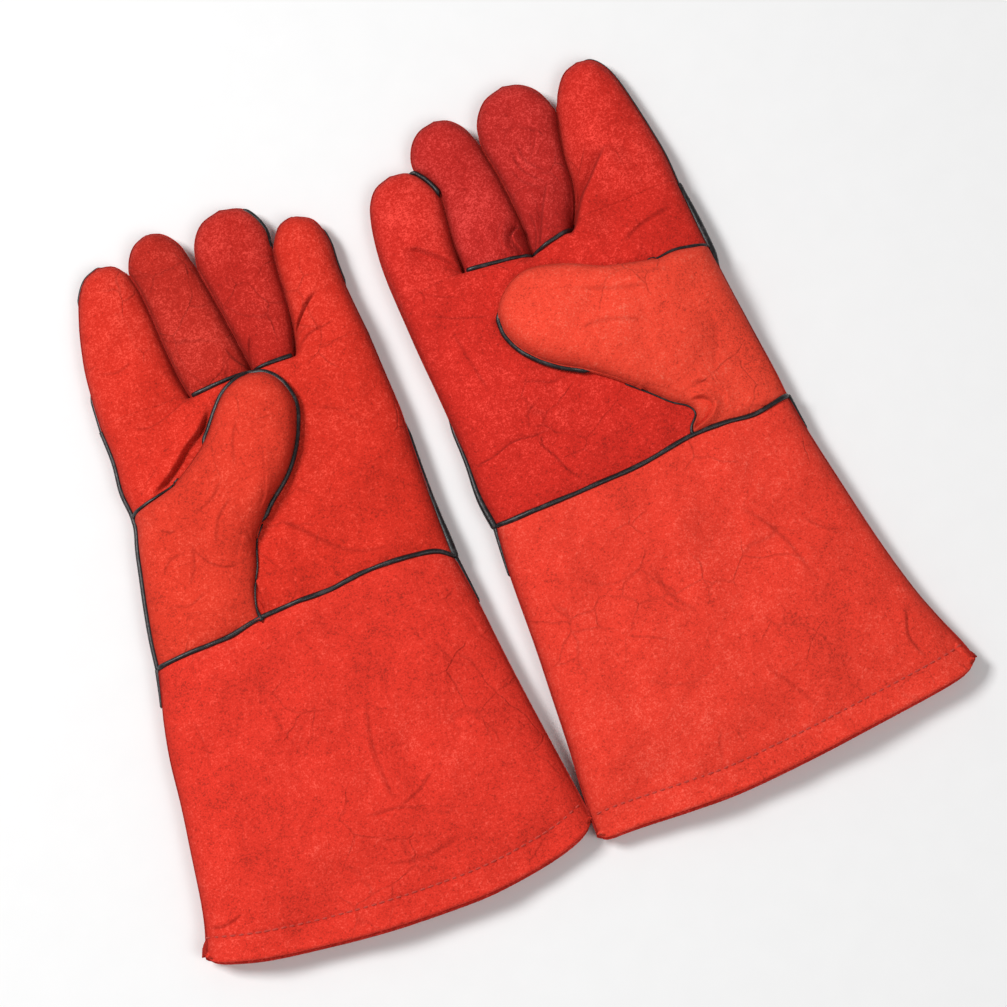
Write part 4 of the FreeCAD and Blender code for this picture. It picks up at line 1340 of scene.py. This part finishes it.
@dataclass
class Thumb(SewnPart):
    """Thumb mound and the thumb that is folded over the palm."""

    columns: int = 84
    turn_length: float = 22.0
    turn_level: float = 30.0
    bare_ease: float = 0.04

    def build(self) -> None:
        """Make and dress the mound and the thumb's pieces."""
        form, p = self.form, self.form.pattern
        mound_plan = span_grid(smooth_curve(p.mound_outer, 90), smooth_curve(p.mound_inner, 90),
                               110, self.columns)
        mound_plan[0, :, 1] = form.wrist_v(mound_plan[0, :, 0])
        outer, inner = smooth_curve(p.thumb_outer, 90), smooth_curve(p.thumb_inner, 90)
        plan = np.concatenate([mound_plan[:-1], span_grid(outer, inner, 96, self.columns)])
        front = self.leather("thumb_leather", plan, form.thumb(plan), Facing.UP, "thumb")
        under_plan = span_grid(outer, inner, 46, 36)
        under = self.leather("thumb_under_leather", under_plan, form.thumb_under(under_plan),
                             Facing.DOWN, "thumb", 1.0)
        welt = self.edge_cord(outer, inner)
        lining = self.thumb_sleeve(outer, inner)
        tuck = smooth_curve(p.mound_outer[5:] + p.thumb_outer[1:2], 60)[1:-12]
        top = self.cord("mound_cord", tuck + np.array([0.0, 0.5]), form.thumb(tuck)[0] - 0.3,
                        np.linspace(1.3, 0.6, len(tuck)))
        seam = smooth_curve(p.mound_inner + p.thumb_inner[1:2], 70)
        above = seam[:, 1] - form.wrist_v(seam[:, 0])
        end = self.cord("mound_seam_cord", seam + np.array([0.35, 0.0]),
                        form.front(seam)[0] + 0.45, 0.5 + 0.7 * np.exp(-above / 3.0))
        self.record(front, "thumb_leather", "thenar_panel", "thumb_front")
        self.record(under, "thumb_leather", "thumb_back")
        self.record(welt, "welt", "thumb_welt")
        self.record(lining, "lining", "thumb_lining")
        for obj in (top, end):
            self.record(obj, "welt")
            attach(obj, self.hand)
        self.declare_sheet(front, "folded")
        row = inner[0] - outer[0]
        middle = 0.5 * (inner[0] + outer[0])
        square = np.array([-row[1], row[0]]) / np.linalg.norm(row)
        for obj in (front, under, welt, lining):
            self.bend(obj, "thumb", tuple(middle), tuple(middle + self.turn_length * square),
                      self.turn_level)

    def edge_cord(self, outer: Array, inner: Array) -> bpy.types.Object:
        """Welt round the thumb, out past the leather where the seam shows."""
        form = self.form
        loop = np.vstack([outer, inner[::-1][1:]])
        line = resample(loop, np.linspace(0.004, 0.996, 190))
        at = np.linspace(0, 1, len(line))
        shown = np.zeros(len(line))
        for low, high in form.pattern.thumb_bare:
            shown = np.maximum(shown, window(at, low, high, self.bare_ease))
        high = form.thumb(line)[0] - 0.4
        line = line + left_of(line) * (-1.6 + 2.0 * shown)[:, None]
        return self.cord("thumb_cord", line, high, 0.95 + 0.55 * shown)

    def thumb_sleeve(self, outer: Array, inner: Array) -> bpy.types.Object:
        """Cotton sleeve inside the thumb."""
        form = self.form
        a, b = (resample(edge[:80], np.linspace(0, 1, 30)) for edge in (outer, inner))
        run = b - a
        flat = between(a + 0.14 * run, b - 0.14 * run, self.cotton_columns)
        top, low = form.thumb(flat)[0] - 2.2, form.thumb_under(flat)[0] + 1.6
        middle = 0.5 * (top + low)
        top, low = np.maximum(top, middle + 0.3), np.minimum(low, middle - 0.3)
        return self.cotton("thumb_cotton", flat, top, low, Side.RIGHT, 0.5, True)


@dataclass
class Cuff(SewnPart):
    """Flared cuff: front, back, hem stitches, lining and the ends of its side welts."""

    rows: int = 165
    columns: int = 190
    roll: float = 1.5
    tuck: float = 12.0
    corner: float = 2.6
    back_extra: float = 0.4
    stitch_pitch: float = 4.0
    stitch_length: float = 3.0
    stub_length: tuple[float, float] = (20.0, 26.0)
    turn_start: float = 3.0
    turn_length: float = 30.0

    def cuff_grid(self, rows: int, columns: int, extra: float) -> Array:
        """Plan grid from the cuff seam to the hem, with straight rows in between."""
        form, p = self.form, self.form.pattern
        t = np.linspace(0, 1, rows)
        ends = []
        for which, side in enumerate((p.cuff_outer, p.cuff_inner)):
            line = form.cuff_side(which)
            fall = side[0][1] * (1 - t) + (side[-1][1] - extra) * t
            ends.append(np.interp(-fall, -line[:, 1], line[:, 0])[:, None])
        u = between(*ends, columns)[..., 0]
        beside = np.minimum(u - ends[0], ends[1] - u)
        corner = self.corner * (1 - ease(beside / 5.0)) ** 2
        v = (form.wrist_v(u) * (1 - t[:, None])
             + (form.hem_v(u) - extra + corner * t[:, None] ** 8) * t[:, None])
        return np.stack([u, v], axis=-1)

    def hemmed(self, plan: Array, heights: tuple[Array, Array, Array], inward: float
               ) -> tuple[Array, tuple[Array, Array, Array]]:
        """Carry a cuff sheet round its hem and a little way back inside.

        The roll is r sin a out past the hem and r (1 - cos a) inward for a from 0 to pi, then
        the tuck runs back under the sheet at twice the roll's radius, keeping inside the side
        seams. The roll grows thin towards the seams, where front and back meet.
        """
        high, crease, edge = heights
        angle = np.linspace(0, math.pi, 9)[1:]
        back = np.linspace(0, self.tuck, 9)[1:]
        reach = np.concatenate([-self.roll * np.sin(angle), back])[:, None]
        sink = np.concatenate([self.roll * (1 - np.cos(angle)), 2 * self.roll + 0 * back])[:, None]
        last = plan[-1]
        ends = np.abs(last[:, 0] - last[[0, -1], 0][:, None]).min(axis=0)
        fat = 0.12 + 0.88 * ease(ends / 9.0)
        slope = (plan[-1, :, 0] - plan[-9, :, 0]) / (plan[-1, :, 1] - plan[-9, :, 1])
        middle = 0.5 * (last[0, 0] + last[-1, 0])
        narrow = np.where(reach > 0, 1.8, 0.0) * (last[:, 0] - middle) / abs(last[0, 0] - middle)
        turned = np.stack([last[:, 0] + slope * np.maximum(reach, 0) - narrow,
                           last[:, 1] + np.where(reach < 0, reach * fat, reach)], axis=-1)
        level = high[-1] - inward * sink * fat
        plan = np.concatenate([plan, turned])
        high = np.concatenate([high, level])
        zero = np.zeros_like(level)
        return plan, (high, np.concatenate([crease, zero]), np.concatenate([edge, zero]))

    def build(self) -> None:
        """Make and dress the cuff's pieces."""
        form = self.form
        plan = self.cuff_grid(self.rows, self.columns, 0.0)[:, ::-1]
        full, marks = self.hemmed(plan, form.front(plan), 1.0)
        front = self.leather("cuff_front_leather", full, marks, Facing.UP, "cuff")
        low_plan = self.cuff_grid(64, 90, self.back_extra)[:, ::-1]
        low_full, low_marks = self.hemmed(low_plan, form.back(low_plan), -1.0)
        back = self.leather("cuff_back_leather", low_full, low_marks, Facing.DOWN, "back")
        lining = self.cuff_sleeve()
        stitches = self.hem_stitches()
        stubs = [self.stub(0), self.stub(1)]
        self.record(front, "cuff_leather", "cuff_front")
        self.record(back, "back_leather", "cuff_back")
        self.record(lining, "lining", "cuff_lining")
        self.record(stitches, "cuff_leather")
        for obj in stubs:
            self.record(obj, "welt")
        for obj in (front, back, lining, stitches, *stubs):
            self.bend(obj, "cuff", (0.0, self.turn_start),
                      (0.0, self.turn_start - self.turn_length))
        for obj in (front, back):
            self.declare_sheet(obj, "laid")

    def cuff_sleeve(self) -> bpy.types.Object:
        """Cotton sleeve inside the cuff, ending under the turned hem."""
        form = self.form
        plan = self.cuff_grid(60, 40, 0.0)
        a, b = plan[:, :1], plan[:, -1:]
        centre = 0.5 * (a + b)
        plan = centre + (plan - centre) * 0.93
        shift = np.linspace(2.0, 9.0, 60)[:, None]
        plan[..., 1] += np.where(np.linspace(0, 1, 60)[:, None] > 0.5, shift, 0.0)
        top, low = form.front(plan)[0] - 2.6, form.back(plan)[0] + 2.6
        middle = 0.5 * (top + low)
        top, low = np.maximum(top, middle + 0.4), np.minimum(low, middle - 0.4)
        return self.cotton("cuff_cotton", plan, top, low, Side.LEFT, self.cotton_wall)

    def hem_stitches(self) -> bpy.types.Object:
        """Row of lockstitches that holds the hem: one short arched thread at each pitch.

        A thread is a six-sided tube along x from -1/2 to 1/2 of its length whose centre rises
        by 1 - (2 x)^2 and whose ends shrink into the leather.
        """
        form = self.form
        line = np.column_stack([form.hem[:, 0], form.hem[:, 1] + form.hem_turn])
        edges = self.cuff_grid(4, 3, 0.0)[-1]
        line = line[(line[:, 0] > edges[0, 0] + 3) & (line[:, 0] < edges[-1, 0] - 3)]
        count = int(float(distances(line)[-1]) / self.stitch_pitch)
        at = (np.arange(count) + 0.5) / count
        near = resample(line, at)
        ahead = (resample(line, np.minimum(at + 0.004, 1.0))
                 - resample(line, np.maximum(at - 0.004, 0)))
        ahead /= np.linalg.norm(ahead, axis=1)[:, None]
        x = np.linspace(-0.5, 0.5, 5)
        thick = 0.48 * np.sqrt(np.clip(1 - (2 * np.abs(x)) ** 3, 0.04, 1))
        angle = np.linspace(0, math.tau, 6, endpoint=False)
        draw = np.random.default_rng(form.pattern.seed + 90)
        size = self.stitch_length * (1 + 0.12 * draw.standard_normal(count))
        along = x[None, :, None] * size[:, None, None] + 0 * angle
        beside = thick[None, :, None] * np.cos(angle) + 0 * along
        rise = 0.30 * (1 - (2 * x) ** 2)[None, :, None] + thick[None, :, None] * np.sin(angle)
        rise = rise + 0 * along
        square = np.column_stack([-ahead[:, 1], ahead[:, 0]])
        plan = (near[:, None, None] + along[..., None] * ahead[:, None, None]
                + beside[..., None] * square[:, None, None])
        ground = form.front(near)[0][:, None, None]
        points = form.place(plan, ground + rise)
        one = grid_faces(5, 6, form.pattern.side is Side.LEFT, around=True)
        faces = (one[None] + 30 * np.arange(count)[:, None, None]).reshape(-1, 4)
        obj = put_mesh(f"{self.word}_hem_stitches", points, faces, {})
        obj.data.materials.append(self.dye("thread"))
        return obj

    def stub(self, which: int) -> bpy.types.Object:
        """Tapered end of a side welt below the cuff seam."""
        form, p = self.form, self.form.pattern
        edge = smooth_curve((p.cuff_outer, p.cuff_inner)[which], 120)
        line = edge[edge[:, 1] > -self.stub_length[which]]
        line = np.vstack([line[:1] + np.array([[0.0, 1.0]]), line])
        away = (-1.0, 1.0)[which]
        line = resample(line + np.array([0.25 * away, 0.0]), np.linspace(0, 1, 24))
        taper = np.linspace(1.5, 0.6, len(line))
        return self.cord(("thumb", "little")[which] + "_cuff_cord", line,
                         form.seam + 0 * line[:, 0], taper)


@dataclass
class Glove:
    """One whole glove, placed where the model's cuff hinge puts it."""

    side: Side
    dyes: Dyes

    def form(self) -> GloveForm:
        """Read the glove's place and turn from its cuff hinge."""
        name = self.side.word + "_wrist_flex"
        joints = frame["record"]["behaviour"]["joints"]
        hinge = next(joint for joint in joints if joint["name"] == name)
        across = -np.array(hinge["axis"], float)
        across[2] = 0.0
        across /= np.linalg.norm(across)
        along = np.array([-across[1], across[0], 0.0])
        origin = np.array(hinge["pos_m"], float) + 0.0015 * along
        origin[2] = 0.0
        return GloveForm(LINES[self.side], origin, across)

    def build(self) -> None:
        """Build the hand, fingers, thumb and cuff."""
        form = self.form()
        Hand(form, self.dyes).build()
        for shape in form.pattern.fingers:
            Finger(form, self.dyes, shape=shape).build()
        Thumb(form, self.dyes).build()
        Cuff(form, self.dyes).build()


@dataclass
class Studio:
    """Pale floor, soft lights and the camera."""

    azimuth: float = -22.9
    elevation: float = 78.0
    distance: float = 1.6
    aim: tuple[float, float, float] = (0.0177, -0.0102, 0.0)
    lens: float = 114.4
    floor_size: float = 8.0

    def floor(self) -> None:
        """Wide pale floor with a faint paper tooth, gently dished at its far edges."""
        t = np.linspace(-1, 1, 25)
        x, y = np.meshgrid(t * self.floor_size / 2, t * self.floor_size / 2)
        far = np.clip(np.hypot(x, y) / (self.floor_size / 2) - 0.7, 0, None)
        points = np.stack([x, y, -0.0006 + 0.8 * far ** 2], axis=-1)
        obj = grid_piece("studio_floor", points, False, {})
        material = bpy.data.materials.new("pale_floor")
        material.use_nodes = True
        desk = NodeDesk(material.node_tree)
        shader = desk.tree.nodes["Principled BSDF"]
        tooth = desk.noise(desk.place(), 60.0, 3.0)
        desk.feed(shader.inputs["Base Color"],
                  desk.blend(tooth, (0.90, 0.90, 0.90, 1.0), (0.93, 0.93, 0.93, 1.0)))
        shader.inputs["Roughness"].default_value = 0.9
        obj.data.materials.append(material)

    def light(self, name: str, place: tuple[float, float, float], size: float, power: float
              ) -> None:
        """Square soft light that looks at the object."""
        lamp = bpy.data.lights.new(name, "AREA")
        lamp.size = size
        lamp.energy = power
        obj = put_object(name, lamp)
        obj.location = place
        obj.rotation_euler = (-Vector(place)).to_track_quat("-Z", "Y").to_euler()

    def build(self) -> None:
        """Place the floor, the lights, the sky light and the camera."""
        self.floor()
        self.light("key", (-1.15, 1.0, 1.9), 0.7, 46.0)
        self.light("fill", (0.6, -1.2, 2.2), 1.2, 17.0)
        world = bpy.data.worlds.new("soft_sky")
        world.use_nodes = True
        world.node_tree.nodes["Background"].inputs[0].default_value = (1.0, 1.0, 1.0, 1.0)
        world.node_tree.nodes["Background"].inputs[1].default_value = 0.24
        bpy.context.scene.world = world
        bpy.context.scene.view_settings.view_transform = "Standard"
        aim = Vector(self.aim)
        turn, tilt = math.radians(self.azimuth), math.radians(self.elevation)
        away = Vector((math.sin(turn) * math.cos(tilt), -math.cos(turn) * math.cos(tilt),
                       math.sin(tilt)))
        camera = bpy.data.cameras.new("camera")
        camera.lens = self.lens
        camera.sensor_width = 36.0
        obj = put_object("camera", camera)
        obj.location = aim + away * self.distance
        obj.rotation_euler = (-away).to_track_quat("-Z", "Y").to_euler()
        bpy.context.scene.camera = obj


def main() -> None:
    """Build the studio and both gloves."""
    logging.basicConfig(level=logging.INFO, format="%(name)s: %(message)s")
    Studio().build()
    dyes = Dyes()
    for side in Side:
        Glove(side, dyes).build()
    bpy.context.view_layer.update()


if __name__ == "__main__":
    main()
